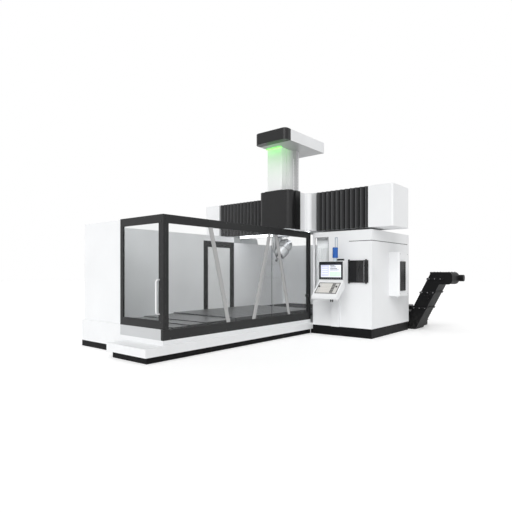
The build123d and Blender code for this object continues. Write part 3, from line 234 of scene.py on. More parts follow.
def build_rubbed_edges():
    """Mask along sharp edges, broken up by noise, from the turn of a bevelled normal."""
    tree, start, end = new_group(
        "rubbed_edges",
        [("Radius", float_kind, 0.006), ("Strength", float_kind, 0.5)],
        [("Mask", float_kind)],
    )
    sharp_turn, break_noise = (0.60, 0.92), (0.4, 0.6)
    bevel = tree.nodes.new("ShaderNodeBevel")
    tree.links.new(start.outputs["Radius"], bevel.inputs["Radius"])
    turn = add_dot(tree, bevel.outputs["Normal"], surface_normal(tree))
    edges = add_range(tree, turn, sharp_turn, all_to_none)
    noise = add_noise(tree, object_coordinates(tree), scale=22.0, detail=5.0)
    breaks = add_range(tree, noise, break_noise, none_to_all)
    tree.links.new(add_product(tree, edges, breaks, start.outputs["Strength"]), end.inputs["Mask"])
    return tree


def build_drawn_lines():
    """Brushed or ground metal: long scratches along one direction."""
    tree, start, end = new_group(
        "drawn_lines",
        [("Stretch", vector_kind, (1.0, 60.0, 60.0)), ("Contrast", float_kind, 0.12),
         ("Gloss Loss", float_kind, 0.3)],
        [("Shade", float_kind), ("Roughness", float_kind), ("Height", float_kind)],
    )
    scaled = tree.nodes.new("ShaderNodeVectorMath")
    scaled.operation = "MULTIPLY"
    tree.links.new(object_coordinates(tree), scaled.inputs[0])
    tree.links.new(start.outputs["Stretch"], scaled.inputs[1])
    lines = add_noise(tree, scaled.outputs["Vector"], scale=4.0, detail=3.0)
    darkest = add_math(tree, "SUBTRACT", 1.0, start.outputs["Contrast"])
    tree.links.new(add_range(tree, lines, middle_noise, (darkest, 1.0)), end.inputs["Shade"])
    gloss_spread = add_range(tree, lines, middle_noise, (-0.08, 0.08))
    tree.links.new(add_math(tree, "ADD", start.outputs["Gloss Loss"], gloss_spread), end.inputs["Roughness"])
    tree.links.new(lines, end.inputs["Height"])
    return tree


paint_film = build_paint_film()
shop_dust = build_shop_dust()
rubbed_edges = build_rubbed_edges()
drawn_lines = build_drawn_lines()


# Makers of the finishes

dust_colour = (0.36, 0.35, 0.33)
dust_dullness = 0.3
coat_roughness = 0.2
# Falloff of the painted light that a lamp throws on paint
painted_glow_falloff = 2.5
line_depth = 0.0003
grain_depth = 0.0006
glass_bend = 1.2
# Painted shade in the bellows' creases and painted highlight along their ridges
painted_crease_shade = (0.004, 0.004, 0.0045)
painted_ridge_highlight = (0.16, 0.165, 0.17)
finishes = {}


def new_material(name):
    """Empty node material, kept among the finishes; returns its tree and its main shader."""
    material = bpy.data.materials.new(name)
    material.use_nodes = True
    finishes[name] = material
    return material.node_tree, material.node_tree.nodes["Principled BSDF"]


def place_group(tree, group, **values):
    """A node group in a material, with its own input values."""
    node = tree.nodes.new("ShaderNodeGroup")
    node.node_tree = group
    for label, value in values.items():
        node.inputs[label.replace("_", " ")].default_value = value
    return node


def cover_with_film(tree, shader, colour, **values):
    """Gives the shader a paint film's colour and roughness; returns the film."""
    film = place_group(tree, paint_film, Colour=(*colour, 1.0), **values)
    tree.links.new(film.outputs["Colour"], shader.inputs["Base Color"])
    tree.links.new(film.outputs["Roughness"], shader.inputs["Roughness"])
    return film


def add_bump(tree, shader, height, distance, strength=0.4):
    """Bump from a height socket into the shader's normal."""
    bump = tree.nodes.new("ShaderNodeBump")
    bump.inputs["Strength"].default_value = strength
    bump.inputs["Distance"].default_value = distance
    tree.links.new(height, bump.inputs["Height"])
    tree.links.new(bump.outputs["Normal"], shader.inputs["Normal"])


def beyond(tree, direction, distance):
    """Mask of the points that lie past a plane, in Object coordinates."""
    return add_math(tree, "GREATER_THAN", add_dot(tree, object_coordinates(tree), direction), distance)


def painted(name, colour, gloss_loss, worn, rub=0.3, settled=0.12, splash=0.12, coat=0.0, drift=0.04,
            shine=0.5, peel=0.00015, patches=(), painted_glow=None):
    """Painted sheet or casting with settled dust and edges worn down to the worn colour.
    Each patch is a second colour, which can be painted shade, then the planes that it lies past, each a
    direction and a distance.
    Painted light is given as its colour, its ends in height and along X, and its strength: emission that
    stands in for a lamp's light on the paint."""
    tree, shader = new_material(name)
    film = place_group(tree, paint_film, Colour=(*colour, 1.0), Gloss_Loss=gloss_loss, Drift=drift)
    dust = place_group(tree, shop_dust, Settled=settled, Splash=splash)
    edges = place_group(tree, rubbed_edges, Strength=rub)
    tone = film.outputs["Colour"]
    for patch_colour, first_plane, *other_planes in patches:
        patch = beyond(tree, *first_plane)
        for plane in other_planes:
            patch = add_math(tree, "MULTIPLY", patch, beyond(tree, *plane))
        tone = add_mix(tree, patch, tone, patch_colour)
    worn_and_highlit = add_mix(tree, edges.outputs["Mask"], tone, worn)
    tree.links.new(add_mix(tree, dust.outputs["Mask"], worn_and_highlit, dust_colour), shader.inputs["Base Color"])
    dull = add_math(tree, "MULTIPLY", dust.outputs["Mask"], dust_dullness)
    tree.links.new(add_math(tree, "ADD", film.outputs["Roughness"], dull), shader.inputs["Roughness"])
    # Painted light: emission in a lamp's colour, strongest high up and at the front, that stands in for the
    # lamp's light on the paint
    if painted_glow:
        painted_glow_colour, heights, depths, strength = painted_glow
        spot = split_axes(tree, object_coordinates(tree))
        fall = add_math(tree, "POWER", add_range(tree, spot["Z"], heights, none_to_all), painted_glow_falloff)
        facing = add_range(tree, spot["X"], depths, all_to_none)
        painted_glow_reach = add_math(tree, "MULTIPLY", fall, facing)
        tree.links.new(add_mix(tree, painted_glow_reach, black, painted_glow_colour), shader.inputs["Emission Color"])
        shader.inputs["Emission Strength"].default_value = strength
    shader.inputs["Specular IOR Level"].default_value = shine
    shader.inputs["Coat Weight"].default_value = coat
    shader.inputs["Coat Roughness"].default_value = coat_roughness
    add_bump(tree, shader, film.outputs["Height"], peel)


def machined(name, colour, stretch, gloss_loss, contrast=0.16, metallic=1.0, settled=0.05):
    """Bare steel or iron with lines along its run."""
    tree, shader = new_material(name)
    lines = place_group(tree, drawn_lines, Stretch=stretch, Contrast=contrast, Gloss_Loss=gloss_loss)
    dust = place_group(tree, shop_dust, Settled=settled, Splash=0.0)
    tone = add_mix(tree, 1.0, colour, add_grey(tree, lines.outputs["Shade"]), "MULTIPLY")
    tree.links.new(add_mix(tree, dust.outputs["Mask"], tone, dust_colour), shader.inputs["Base Color"])
    tree.links.new(lines.outputs["Roughness"], shader.inputs["Roughness"])
    shader.inputs["Metallic"].default_value = metallic
    add_bump(tree, shader, lines.outputs["Height"], line_depth)


def moulded(name, colour, gloss_loss, grain=420.0):
    """Moulded plastic or rubber with a fine spark grain."""
    tree, shader = new_material(name)
    film = cover_with_film(tree, shader, colour, Gloss_Loss=gloss_loss, Peel=grain, Drift=0.12)
    add_bump(tree, shader, film.outputs["Height"], grain_depth)


def lit(name, colour, strength):
    """Lamp cover that glows, a little uneven over its length."""
    tree, shader = new_material(name)
    film = cover_with_film(tree, shader, colour, Gloss_Loss=0.3, Drift=0.15)
    tree.links.new(film.outputs["Colour"], shader.inputs["Emission Color"])
    shader.inputs["Emission Strength"].default_value = strength


def safety_glass(name, tint, haze):
    """Clear pane that lets light through, with a faint haze of coolant mist."""
    tree, shader = new_material(name)
    cover_with_film(tree, shader, tint, Gloss_Loss=haze, Drift=0.05)
    shader.inputs["Transmission Weight"].default_value = 1.0
    shader.inputs["IOR"].default_value = glass_bend
    rays = tree.nodes.new("ShaderNodeLightPath")
    clear = tree.nodes.new("ShaderNodeBsdfTransparent")
    clear.inputs["Color"].default_value = (*tint, 1.0)
    mix = tree.nodes.new("ShaderNodeMixShader")
    tree.links.new(rays.outputs["Is Shadow Ray"], mix.inputs["Fac"])
    tree.links.new(shader.outputs["BSDF"], mix.inputs[1])
    tree.links.new(clear.outputs["BSDF"], mix.inputs[2])
    tree.links.new(mix.outputs["Shader"], tree.nodes["Material Output"].inputs["Surface"])


def coated_cloth(name, colour, ridge_way, crease, ridge):
    """Coated bellows cloth: fine weave, with painted shade in the creases and a painted highlight along the
    ridges.
    The creases and ridges lie at two distances along ridge_way."""
    weave_scale, crease_shade_falloff, cloth_shine = 260.0, 1.7, 0.3
    ridge_share, painted_highlight_share = (0.86, 1.0), (0.0, 0.35)
    tree, shader = new_material(name)
    film = cover_with_film(tree, shader, colour, Gloss_Loss=0.42, Drift=0.25)
    place = object_coordinates(tree)
    weave = tree.nodes.new("ShaderNodeTexWave")
    weave.inputs["Scale"].default_value = weave_scale
    weave.bands_direction = "DIAGONAL"
    tree.links.new(place, weave.inputs["Vector"])
    # Painted shade deepens towards the creases, and a painted highlight lies along the top of the ridges
    height = add_range(tree, add_dot(tree, place, ridge_way), (crease, ridge), none_to_all)
    lifted = add_math(tree, "POWER", height, crease_shade_falloff)
    dark = add_mix(tree, lifted, painted_crease_shade, film.outputs["Colour"])
    worn_and_highlit = add_range(tree, height, ridge_share, painted_highlight_share)
    tree.links.new(add_mix(tree, worn_and_highlit, dark, painted_ridge_highlight), shader.inputs["Base Color"])
    shader.inputs["Specular IOR Level"].default_value = cloth_shine
    add_bump(tree, shader, weave.outputs["Fac"], grain_depth, 0.3)


# Planes at which a node changes colour
keypad_low, keypad_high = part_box("keypad")
slope_normal = (-0.70711, 0.0, 0.70711)
key_height = 0.0045
key_level = Vector(slope_normal).dot((keypad_low.x, 0.0, keypad_low.z)) + key_height
dark_keys = (2.176, 2.262)
lamp_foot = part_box("signal_lamp")[0].z
lens_foot, lens_head = lamp_foot + 0.076, lamp_foot + 0.312
beam_fold_low, beam_fold_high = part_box("bellows_left")
way_low, way_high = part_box("way_bellows_rear")
grip_start = -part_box("side_door_rear_glass")[0].y + 0.014
lever_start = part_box("left_door_frame")[1].y + 0.001
ram_foot, ram_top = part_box("ram")
# Height and strength of the painted light from the status lamp on the ram
painted_glow_height, painted_glow_strength = 1.2, 0.4
# The cap's underside, which is painted a darker grey as painted shade
cap_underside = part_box("ram_cap_front")[0].z
face_depth = 0.002

# Colours with a name of their own
grey_primer = (0.30, 0.31, 0.32)
bare_metal = (0.45, 0.45, 0.44)
soft_black = (0.014, 0.014, 0.015)
cover_white = (0.86, 0.87, 0.88)
# Darker white that paints shade on the cap's underside
painted_shade_grey = (0.44, 0.445, 0.45)
bar_colour = (0.42, 0.42, 0.42)
status_colour = (0.16, 1.0, 0.10)

painted("white_paint", cover_white, 0.34, grey_primer, rub=0.12, settled=0.05, splash=0.06)
# White paint of the ram, with painted green light from the status lamp near its top
painted("ram_white_painted_glow", (0.88, 0.89, 0.89), 0.22, grey_primer, settled=0.0, splash=0.0, coat=0.3,
        painted_glow=(status_colour, (ram_top.z - painted_glow_height, ram_top.z), (ram_foot.x, ram_top.x), painted_glow_strength))
# White paint of the cap, with painted shade on its underside
painted("cap_white_painted_shade", cover_white, 0.34, grey_primer, rub=0.12, settled=0.05,
        patches=[(painted_shade_grey, (up, cap_underside - face_depth), (down, -cap_underside - face_depth))])
painted("liner_grey", (0.66, 0.67, 0.68), 0.45, grey_primer, rub=0.0, settled=0.0, drift=0.02)
painted("wall_grey", (0.84, 0.85, 0.86), 0.38, grey_primer, settled=0.08)
painted("sill_grey", (0.56, 0.57, 0.58), 0.38, grey_primer, settled=0.08)
painted("door_white", (0.84, 0.85, 0.85), 0.36, grey_primer, rub=0.1,
        patches=[(soft_black, (left, lever_start))])
painted("bar_grey", bar_colour, 0.34, grey_primer)
painted("rear_bar_grey", bar_colour, 0.34, grey_primer, patches=[(soft_black, (right, grip_start))])
painted("anthracite", (0.014, 0.0145, 0.015), 0.40, bare_metal, settled=0.03, splash=0.05, shine=0.3,
        peel=0.00006)
painted("plinth_black", (0.008, 0.008, 0.0085), 0.55, bare_metal, rub=0.15, splash=0.0, settled=0.02,
        shine=0.1, peel=0.00006)
painted("cover_black", (0.011, 0.011, 0.0115), 0.32, bare_metal, rub=0.15, settled=0.02, drift=0.02,
        shine=0.35, peel=0.00003)
painted("casting_grey", (0.62, 0.64, 0.65), 0.48, bare_metal, drift=0.1, peel=0.0004)
painted("conveyor_black", (0.006, 0.006, 0.0065), 0.52, bare_metal, rub=0.3, settled=0.05, shine=0.12)
machined("way_steel", (0.30, 0.305, 0.31), (1.0, 40.0, 40.0), 0.34)
machined("rail_steel", (0.50, 0.51, 0.52), (0.6, 60.0, 60.0), 0.24)
machined("table_iron", (0.24, 0.245, 0.25), (30.0, 0.8, 30.0), 0.38, contrast=0.22)
machined("head_silver", (0.64, 0.65, 0.66), (8.0, 8.0, 2.0), 0.36, metallic=0.7)
machined("tool_steel", (0.34, 0.34, 0.35), (20.0, 20.0, 20.0), 0.28)
machined("bolt_steel", (0.30, 0.30, 0.31), (30.0, 30.0, 30.0), 0.35)
machined("grip_steel", (0.62, 0.62, 0.63), (40.0, 40.0, 0.8), 0.25)
# Cloth of the bellows, with painted shade in the creases and a painted highlight along the ridges
coated_cloth("bellows_cloth_painted_light", (0.050, 0.051, 0.053), front, -beam_fold_high.x, -beam_fold_low.x)
coated_cloth("way_cloth_painted_light", (0.045, 0.045, 0.047), up, way_low.z, way_high.z)
safety_glass("clear_glass", (0.985, 0.992, 0.992), 0.03)
safety_glass("front_glass", (0.93, 0.945, 0.945), 0.03)
moulded("hatch_panel", (0.010, 0.010, 0.011), 0.10, 60.0)
moulded("chain_grey", (0.60, 0.60, 0.61), 0.45)
moulded("chain_plastic", (0.20, 0.20, 0.205), 0.45)
moulded("screen_black", (0.020, 0.022, 0.026), 0.16, 90.0)
moulded("knob_black", (0.02, 0.02, 0.02), 0.4)
# Black rubber, also used for the painted shade in the cabinet's upper groove
moulded("black_rubber_and_painted_shade", (0.012, 0.012, 0.012), 0.6)
moulded("seal_grey", (0.30, 0.30, 0.31), 0.55)
moulded("black_screw", (0.03, 0.03, 0.03), 0.35)
moulded("key_white", (0.75, 0.75, 0.74), 0.4)
painted("key_panel", (0.64, 0.63, 0.61), 0.45, bare_metal, rub=0.0, settled=0.0, patches=[
    ((0.74, 0.72, 0.68), (slope_normal, key_level)),
    (soft_black, (slope_normal, key_level), (right, dark_keys[0]), (left, -dark_keys[1])),
])
painted("lamp_paint", (0.62, 0.70, 0.76), 0.24, grey_primer, rub=0.0, settled=0.0, patches=[
    ((0.012, 0.10, 0.40), (up, lens_foot)),
    ((0.35, 0.42, 0.50), (up, lens_head)),
])
lit("status_green", status_colour, 3.0)
lit("lamp_white", (0.95, 0.97, 1.0), 9.0)
lit("display_pale", (0.78, 0.80, 0.86), 0.55)
lit("display_lilac", (0.60, 0.62, 0.80), 0.5)
lit("display_green", (0.62, 0.76, 0.66), 0.5)
lit("display_dark", (0.05, 0.06, 0.10), 0.1)

node_finishes = {
    "white_paint": ["base_platform", "front_wall", "beam_cover_left", "beam_cover_right", "cabinet_shell",
                    "air_conditioner", "console_mount", "console_housing", "keyboard_tray",
                    "front_door_handle", "carriage_body"],
    "ram_white_painted_glow": ["ram"],
    "cap_white_painted_shade": ["ram_cap_rear"],
    "anthracite": ["left_door_frame", "enclosure_frame", "front_door_frame", "vent_grille"],
    "plinth_black": ["base_plinth"],
    "cover_black": ["carriage_cover", "ram_cap_front"],
    "wall_grey": ["left_wall", "rear_guard"],
    "sill_grey": ["door_sill_panel"],
    "door_white": ["left_door"],
    "bar_grey": ["side_door_front_bars"],
    "rear_bar_grey": ["side_door_rear_bar"],
    "casting_grey": ["bed", "left_column", "right_column", "crossbeam"],
    "conveyor_black": ["conveyor_housing", "coolant_tank"],
    "way_steel": ["way_cover_fixed", "way_cover_inner", "way_cover_outer", "way_cover_table"],
    "rail_steel": ["guide_rails", "table_screw"],
    "table_iron": ["table"],
    "head_silver": ["head_body", "head_swivel"],
    "tool_steel": ["spindle", "cutter", "tool_magazine"],
    "bellows_cloth_painted_light": ["bellows_left", "bellows_right"],
    "way_cloth_painted_light": ["way_bellows_rear"],
    "front_glass": ["front_door_glass"],
    "clear_glass": ["side_door_front_glass", "side_door_rear_glass", "cabinet_window"],
    "hatch_panel": ["magazine_hatch"],
    "chain_grey": ["energy_chain"],
    "screen_black": ["console_screen"],
    "key_panel": ["keypad"],
    "knob_black": ["feed_knob", "spindle_knob"],
    "lamp_paint": ["signal_lamp"],
    "status_green": ["cap_light"],
    "lamp_white": ["work_light"],
}
for finish_name, members in node_finishes.items():
    for member in members:
        nodes[member].data.materials.clear()
        nodes[member].data.materials.append(finishes[finish_name])


# Plain shapes that the pieces are made of; sizes in metres

screw_radius, screw_height, screw_sides = 0.011, 0.006, 10
socket_share = 0.45
unit_half = 0.5


def link_object(name, data):
    """New object in the scene."""
    thing = bpy.data.objects.new(name, data)
    bpy.context.scene.collection.objects.link(thing)
    return thing


def make_piece(name, shape, finish, body=None):
    """Turns a bmesh into a named object with a finish, riding on a body."""
    mesh = bpy.data.meshes.new(name)
    shape.to_mesh(mesh)
    shape.free()
    mesh.materials.append(finishes[finish])
    thing = link_object(name, mesh)
    if body:
        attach(thing, body)
    return thing


def stand_on(direction, place):
    """Matrix that turns Z to a direction and takes the origin to a place."""
    turn = Vector(direction).to_track_quat("Z", "Y").to_matrix().to_4x4()
    turn.translation = place
    return turn


def ring_spots(count, radius, axis, start=0.0):
    """Spots spaced evenly on a circle about the origin; start is in degrees."""
    first = Vector((0.0, radius, 0.0)) if axis == "X" else Vector((radius, 0.0, 0.0))
    return [Matrix.Rotation(radians(360 / count * index + start), 4, axis) @ first for index in range(count)]


def round_edges(shape, edges, width):
    """Rounds edges off with two facets."""
    bmesh.ops.bevel(shape, geom=edges, offset=width, offset_type="OFFSET", segments=2, profile=0.5,
                    affect="EDGES", material=-1)


def add_block(shape, centre, size, edge=0.0):
    """Straight block about its centre, with rounded edges where edge is given."""
    made = bmesh.ops.create_cube(shape, size=1.0)["verts"]
    bmesh.ops.scale(shape, verts=made, vec=size)
    bmesh.ops.translate(shape, verts=made, vec=centre)
    if edge:
        round_edges(shape, list({rim for corner in made for rim in corner.link_edges}), edge)


def add_slab(shape, low, high, edge=0.0):
    """Straight block between two corners, with rounded edges where edge is given."""
    add_block(shape, (Vector(low) + Vector(high)) / 2, Vector(high) - Vector(low), edge)


def slab_piece(name, finish, body, low, high, edge=0.0):
    """A piece that is one block."""
    shape = bmesh.new()
    add_slab(shape, low, high, edge)
    return make_piece(name, shape, finish, body)


def add_drum(shape, centre, direction, radius, length, sides=20, top_radius=None):
    """Round bar or cone about its centre, along a direction."""
    end_radius = radius if top_radius is None else top_radius
    made = bmesh.ops.create_cone(shape, cap_ends=True, segments=sides, radius1=radius, radius2=end_radius,
                                 depth=length)["verts"]
    bmesh.ops.transform(shape, verts=made, matrix=stand_on(direction, centre))


def add_screw(shape, place, direction, radius=screw_radius, height=screw_height):
    """Socket-head screw standing on a face."""
    made = bmesh.ops.create_cone(shape, cap_ends=True, segments=screw_sides, radius1=radius, radius2=radius,
                                 depth=height)["verts"]
    top = max({face for corner in made for face in corner.link_faces}, key=lambda f: f.calc_center_median().z)
    bmesh.ops.inset_individual(shape, faces=[top], thickness=radius * socket_share, depth=0.0)
    bmesh.ops.translate(shape, verts=top.verts, vec=(0, 0, -height * socket_share))
    middle = Vector(place) + Vector(direction).normalized() * height / 2
    bmesh.ops.transform(shape, verts=list(set(made) | set(top.verts)), matrix=stand_on(direction, middle))


def add_ring(shape, centre, direction, radius, width, thickness, sides=40):
    """Flat band round an axis; radius is its inner radius, width runs along the axis."""
    before = set(shape.verts)
    made = bmesh.ops.create_grid(shape, x_segments=1, y_segments=1, size=unit_half)["verts"]
    panes = list({face for corner in made for face in corner.link_faces})
    bmesh.ops.delete(shape, geom=panes, context="FACES_ONLY")
    bmesh.ops.rotate(shape, verts=made, cent=origin, matrix=Matrix.Rotation(pi / 2, 3, "X"))
    bmesh.ops.scale(shape, verts=made, vec=(thickness, 1.0, width))
    bmesh.ops.translate(shape, verts=made, vec=(radius + thickness / 2, 0.0, 0.0))
    outline = list({edge for corner in made for edge in corner.link_edges})
    bmesh.ops.spin(shape, geom=made + outline, cent=origin, axis=up, dvec=origin, angle=full_turn,
                   steps=sides, use_merge=True)
    grown = [corner for corner in shape.verts if corner not in before]
    bmesh.ops.transform(shape, verts=grown, matrix=stand_on(direction, centre))
    bmesh.ops.recalc_face_normals(shape, faces=list({face for corner in grown for face in corner.link_faces}))


def add_border(shape, low, high, thin, width, edge=0.0):
    """Rectangular trim round an opening; thin is the axis that it is flat on."""
    first, second = [axis for axis in (x_axis, y_axis, z_axis) if axis != thin]
    for axis, other in ((first, second), (second, first)):
        for near in (True, False):
            corner_low, corner_high = Vector(low), Vector(high)
            if near:
                corner_high[axis] = low[axis] + width
            else:
                corner_low[axis] = high[axis] - width
            if axis == second:
                corner_low[other] += width
                corner_high[other] -= width
            add_slab(shape, corner_low, corner_high, edge)


# Bellows: pleated cloth on the beam and behind the table

fold_sheet, fold_ridge, fold_rows = 0.004, 0.007, 4
left_folds, right_folds, way_folds = 18, 11, 14


def pleat_sheet(columns, along, across, length, width):
    """Flat grid from the origin, columns along one direction and rows across it."""
    shape = bmesh.new()
    bmesh.ops.create_grid(shape, x_segments=columns, y_segments=fold_rows, size=unit_half)
    turn = Matrix((along, across, Vector(along).cross(Vector(across)))).transposed().to_4x4()
    bmesh.ops.translate(shape, verts=shape.verts, vec=(unit_half, unit_half, 0.0))
    bmesh.ops.scale(shape, verts=shape.verts, vec=(length, width, 1.0))
    bmesh.ops.transform(shape, verts=shape.verts, matrix=turn)
    return shape


def fold_cloth(shape, direction, pitch, lift):
    """Lifts every second column of a grid into a ridge, then rounds the ridges."""
    along = Vector(direction)
    ridges = [corner for corner in shape.verts if round(corner.co.dot(along) / pitch) % 2]
    bmesh.ops.translate(shape, verts=ridges, vec=lift)
    creases = [edge for edge in shape.edges
               if abs((edge.verts[0].co - edge.verts[1].co).dot(along)) < pitch / 4]
    round_edges(shape, creases, fold_ridge)


def hang_cloth(name, shape, place, finish):
    """Moves folded cloth to its place and gives it its thickness."""
    bmesh.ops.translate(shape, verts=shape.verts, vec=place)
    cloth = make_piece(name, shape, finish)
    wall = cloth.modifiers.new("cloth", "SOLIDIFY")
    wall.thickness = fold_sheet
    wall.offset = 0.0
    return cloth


def beam_bellows(node, name, folds):
    """Cloth between the carriage and an end cover; returns it and its node's corners."""
    low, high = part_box(node)
    length = high.y - low.y
    shape = pleat_sheet(2 * folds, left, up, length, high.z - low.z)
    fold_cloth(shape, left, length / (2 * folds), (low.x - high.x + fold_sheet, 0, 0))
    return hang_cloth(name, shape, (high.x - fold_sheet / 2, low.y, low.z), "bellows_cloth_painted_light"), low, high


left_cloth, left_low, left_high = beam_bellows("bellows_left", "bellows_left_cloth", left_folds)
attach(left_cloth, "frame")
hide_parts("bellows_left")
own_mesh(left_cloth)

right_cloth, right_low, right_high = beam_bellows("bellows_right", "bellows_right_cloth", right_folds)
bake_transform(right_cloth)
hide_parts("bellows_right")

way_length = way_high.x - way_low.x
way_shape = pleat_sheet(2 * way_folds, rear, left, way_length, way_high.y - way_low.y)
fold_cloth(way_shape, rear, way_length / (2 * way_folds), (0, 0, way_high.z - way_low.z - fold_sheet))
way_foot = (way_low.x, way_low.y, way_low.z + fold_sheet / 2)
way_cloth_painted_light = hang_cloth("way_bellows_cloth", way_shape, way_foot, "way_cloth_painted_light")
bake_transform(way_cloth_painted_light)
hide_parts("way_bellows_rear")


# Console: fields of the display, each placed by shares of the screen

tile_thickness = 0.0012
display_across, field_across = (0.08, 0.93), (0.13, 0.38)
line_start, line_end, line_growth, line_height = 0.48, 0.66, 0.06, 0.028
line_feet, field_feet, field_height = (0.76, 0.69, 0.60, 0.52), (0.30, 0.42, 0.54, 0.66), 0.05
screen_low, screen_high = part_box("console_screen")
screen_width, screen_height = screen_high.y - screen_low.y, screen_high.z - screen_low.z


def display_tile(name, finish, across, rise, level=1):
    """Lit field of the display; across runs from its left edge and rise from its lower edge."""
    face = screen_low.x - tile_thickness * level
    low = (face, screen_high.y - across[1] * screen_width, screen_low.z + rise[0] * screen_height)
    high = (screen_low.x, screen_high.y - across[0] * screen_width, screen_low.z + rise[1] * screen_height)
    slab_piece(name, finish, "console", low, high)


display_tile("display_ground", "display_pale", display_across, (0.13, 0.85))
display_tile("display_list", "display_lilac", (0.10, 0.42), (0.20, 0.80), level=2)
display_tile("display_plot", "display_green", (0.46, 0.91), (0.17, 0.44), level=2)
for row, foot in enumerate(line_feet):
    line_across = (line_start, line_end + line_growth * row)
    display_tile(f"display_line_{row}", "display_dark", line_across, (foot, foot + line_height), level=2)
for row, foot in enumerate(field_feet):
    display_tile(f"display_field_{row}", "display_pale", field_across, (foot, foot + field_height), level=3)
display_tile("display_header", "display_dark", display_across, (0.81, 0.85), level=2)

# Soft keys under the display
soft_key_count = 10
key_lift, key_width, key_margin = 0.006, 0.026, 0.014
key_step = screen_width / (soft_key_count + 1)
key_foot = screen_low.z + key_margin
soft_keys = bmesh.new()
for index in range(soft_key_count):
    key_y = screen_low.y + key_step * (index + 1)
    add_slab(soft_keys, (screen_low.x - key_lift, key_y - key_width / 2, key_foot),
             (screen_low.x, key_y + key_width / 2, key_foot + key_width / 2), key_lift / 3)
make_piece("soft_keys", soft_keys, "chain_plastic", "console")

# Black border of the key panel, laid out flat and then turned onto the slope
keypad_rise = 0.00283
border_sink, border_lift, border_width, border_edge = 0.001, 0.003, 0.016, 0.001
slope_foot = Vector((keypad_low.x, 0.0, keypad_low.z + keypad_rise))
slope_head = Vector((keypad_high.x - keypad_rise, 0.0, keypad_high.z))
slope = slope_head - slope_foot
panel_border = bmesh.new()
add_border(panel_border, (-keypad_high.y, 0.0, -border_sink), (-keypad_low.y, slope.length, border_lift),
           z_axis, border_width, border_edge)
onto_slope = Matrix((right, slope.normalized(), slope_normal)).transposed().to_4x4()
onto_slope.translation = slope_foot
bmesh.ops.transform(panel_border, verts=panel_border.verts, matrix=onto_slope)
make_piece("key_panel_border", panel_border, "black_rubber_and_painted_shade", "console")

# Sockets with their plugs under the tray, and the dock above the screen
socket_places, socket_inset, socket_lift = (0.10, 0.145), 0.035, 0.005
socket_radius, socket_length, plug_share = 0.015, 0.05, 0.6
dock_low, dock_high, dock_edge = Vector((0.012, 0.0, 0.022)), Vector((0.075, 0.15, 0.060)), 0.006
tray_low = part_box("keyboard_tray")[0]
sockets = bmesh.new()
for socket_y in socket_places:
    socket_spot = tray_low + Vector((socket_inset, socket_y, socket_lift))
    plug_spot = socket_spot - Vector((0.0, 0.0, socket_length / 2))
    add_drum(sockets, socket_spot, up, socket_radius, socket_length)
    add_drum(sockets, plug_spot, up, socket_radius * plug_share, socket_length / 2)
make_piece("tray_sockets", sockets, "knob_black", "console")
dock_corner = Vector((screen_low.x, screen_low.y, screen_high.z))
slab_piece("pendant_dock", "black_rubber_and_painted_shade", "console",
           dock_corner + dock_low, dock_corner + dock_high, dock_edge)

# Hatch: latch tabs at the corners and a bright pull strip
tab_size, tab_edge, tab_setback = (0.024, 0.040, 0.044), 0.004, 0.016
tab_inset_right, tab_inset_left = 0.06, 0.02
pull_inset, pull_half, pull_lift, pull_margin, pull_edge = 0.4059, 0.005, 0.002, 0.02, 0.0008
hatch_low, hatch_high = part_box("magazine_hatch")
tabs = bmesh.new()
for tab_y in (hatch_low.y + tab_inset_right, hatch_high.y - tab_inset_left):
    for tab_z in (hatch_low.z, hatch_high.z):
        add_block(tabs, (hatch_high.x - tab_setback, tab_y, tab_z), tab_size, tab_edge)
make_piece("hatch_tabs", tabs, "black_rubber_and_painted_shade", "hatch")
pull_y = hatch_high.y - pull_inset
slab_piece("hatch_pull_strip", "grip_steel", "hatch",
           (hatch_low.x - pull_lift, pull_y - pull_half, hatch_low.z + pull_margin),
           (hatch_low.x, pull_y + pull_half, hatch_high.z - pull_margin), pull_edge)

# Black strip in the cabinet's upper groove, round its front corner: painted shade in the groove
groove_low, groove_high = 2.203, 2.217
groove_back, groove_face = 0.010, 0.002
groove_end_x, groove_end_y, corner_gap = 2.10, -2.349, 0.003
cabinet_low, cabinet_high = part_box("cabinet_shell")
groove_shade_strip = bmesh.new()
add_slab(groove_shade_strip, (groove_face, cabinet_low.y + corner_gap, groove_low),
         (groove_back, groove_end_y, groove_high))
add_slab(groove_shade_strip, (groove_face, cabinet_low.y + groove_face, groove_low),
         (groove_end_x, cabinet_low.y + groove_back, groove_high))
make_piece("cabinet_groove_shade_strip", groove_shade_strip, "black_rubber_and_painted_shade", "frame")

# Folded liner in the bay behind the cabinet's window, its head plate and the window's rubber
liner_panels, liner_gap, liner_edge = 3, 0.004, 0.002
liner_front, liner_back, liner_top = 0.118, 0.124, 2.09
liner_drop, liner_over, rib_depth, rib_width = 0.25, 0.02, 0.014, 0.012
plate_setback, plate_lap, plate_top, plate_edge = 0.01, 0.02, 2.43, 0.003
rubber_depth, rubber_width = 0.009, 0.012
window_low, window_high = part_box("cabinet_window")
liner_foot = window_low.z - liner_drop
panel_step = (window_high.y - window_low.y + 2 * liner_over) / liner_panels
liner = bmesh.new()
for panel in range(liner_panels):
    panel_low = window_low.y - liner_over + panel * panel_step
    panel_end = panel_low + panel_step - liner_gap
    add_slab(liner, (liner_front, panel_low + liner_gap, liner_foot),
             (liner_back, panel_end, liner_top), liner_edge)
    add_slab(liner, (liner_front - rib_depth, panel_end - rib_width, liner_foot),
             (liner_front, panel_end, liner_top), liner_edge)
make_piece("bay_liner", liner, "liner_grey", "frame")
slab_piece("bay_head_plate", "white_paint", "frame",
           (liner_front + plate_setback, window_low.y - liner_over, liner_top - plate_lap),
           (liner_back + plate_setback, window_high.y + liner_over, plate_top), plate_edge)
window_rubber = bmesh.new()
add_border(window_rubber, (window_low.x - rubber_depth, window_low.y, window_low.z),
           (window_low.x, window_high.y, window_high.z), x_axis, rubber_width)
make_piece("window_rubber", window_rubber, "seal_grey", "frame")


# Seal strips along the inclined bars: piece, body, glass, depth, then each bar's foot and head along X

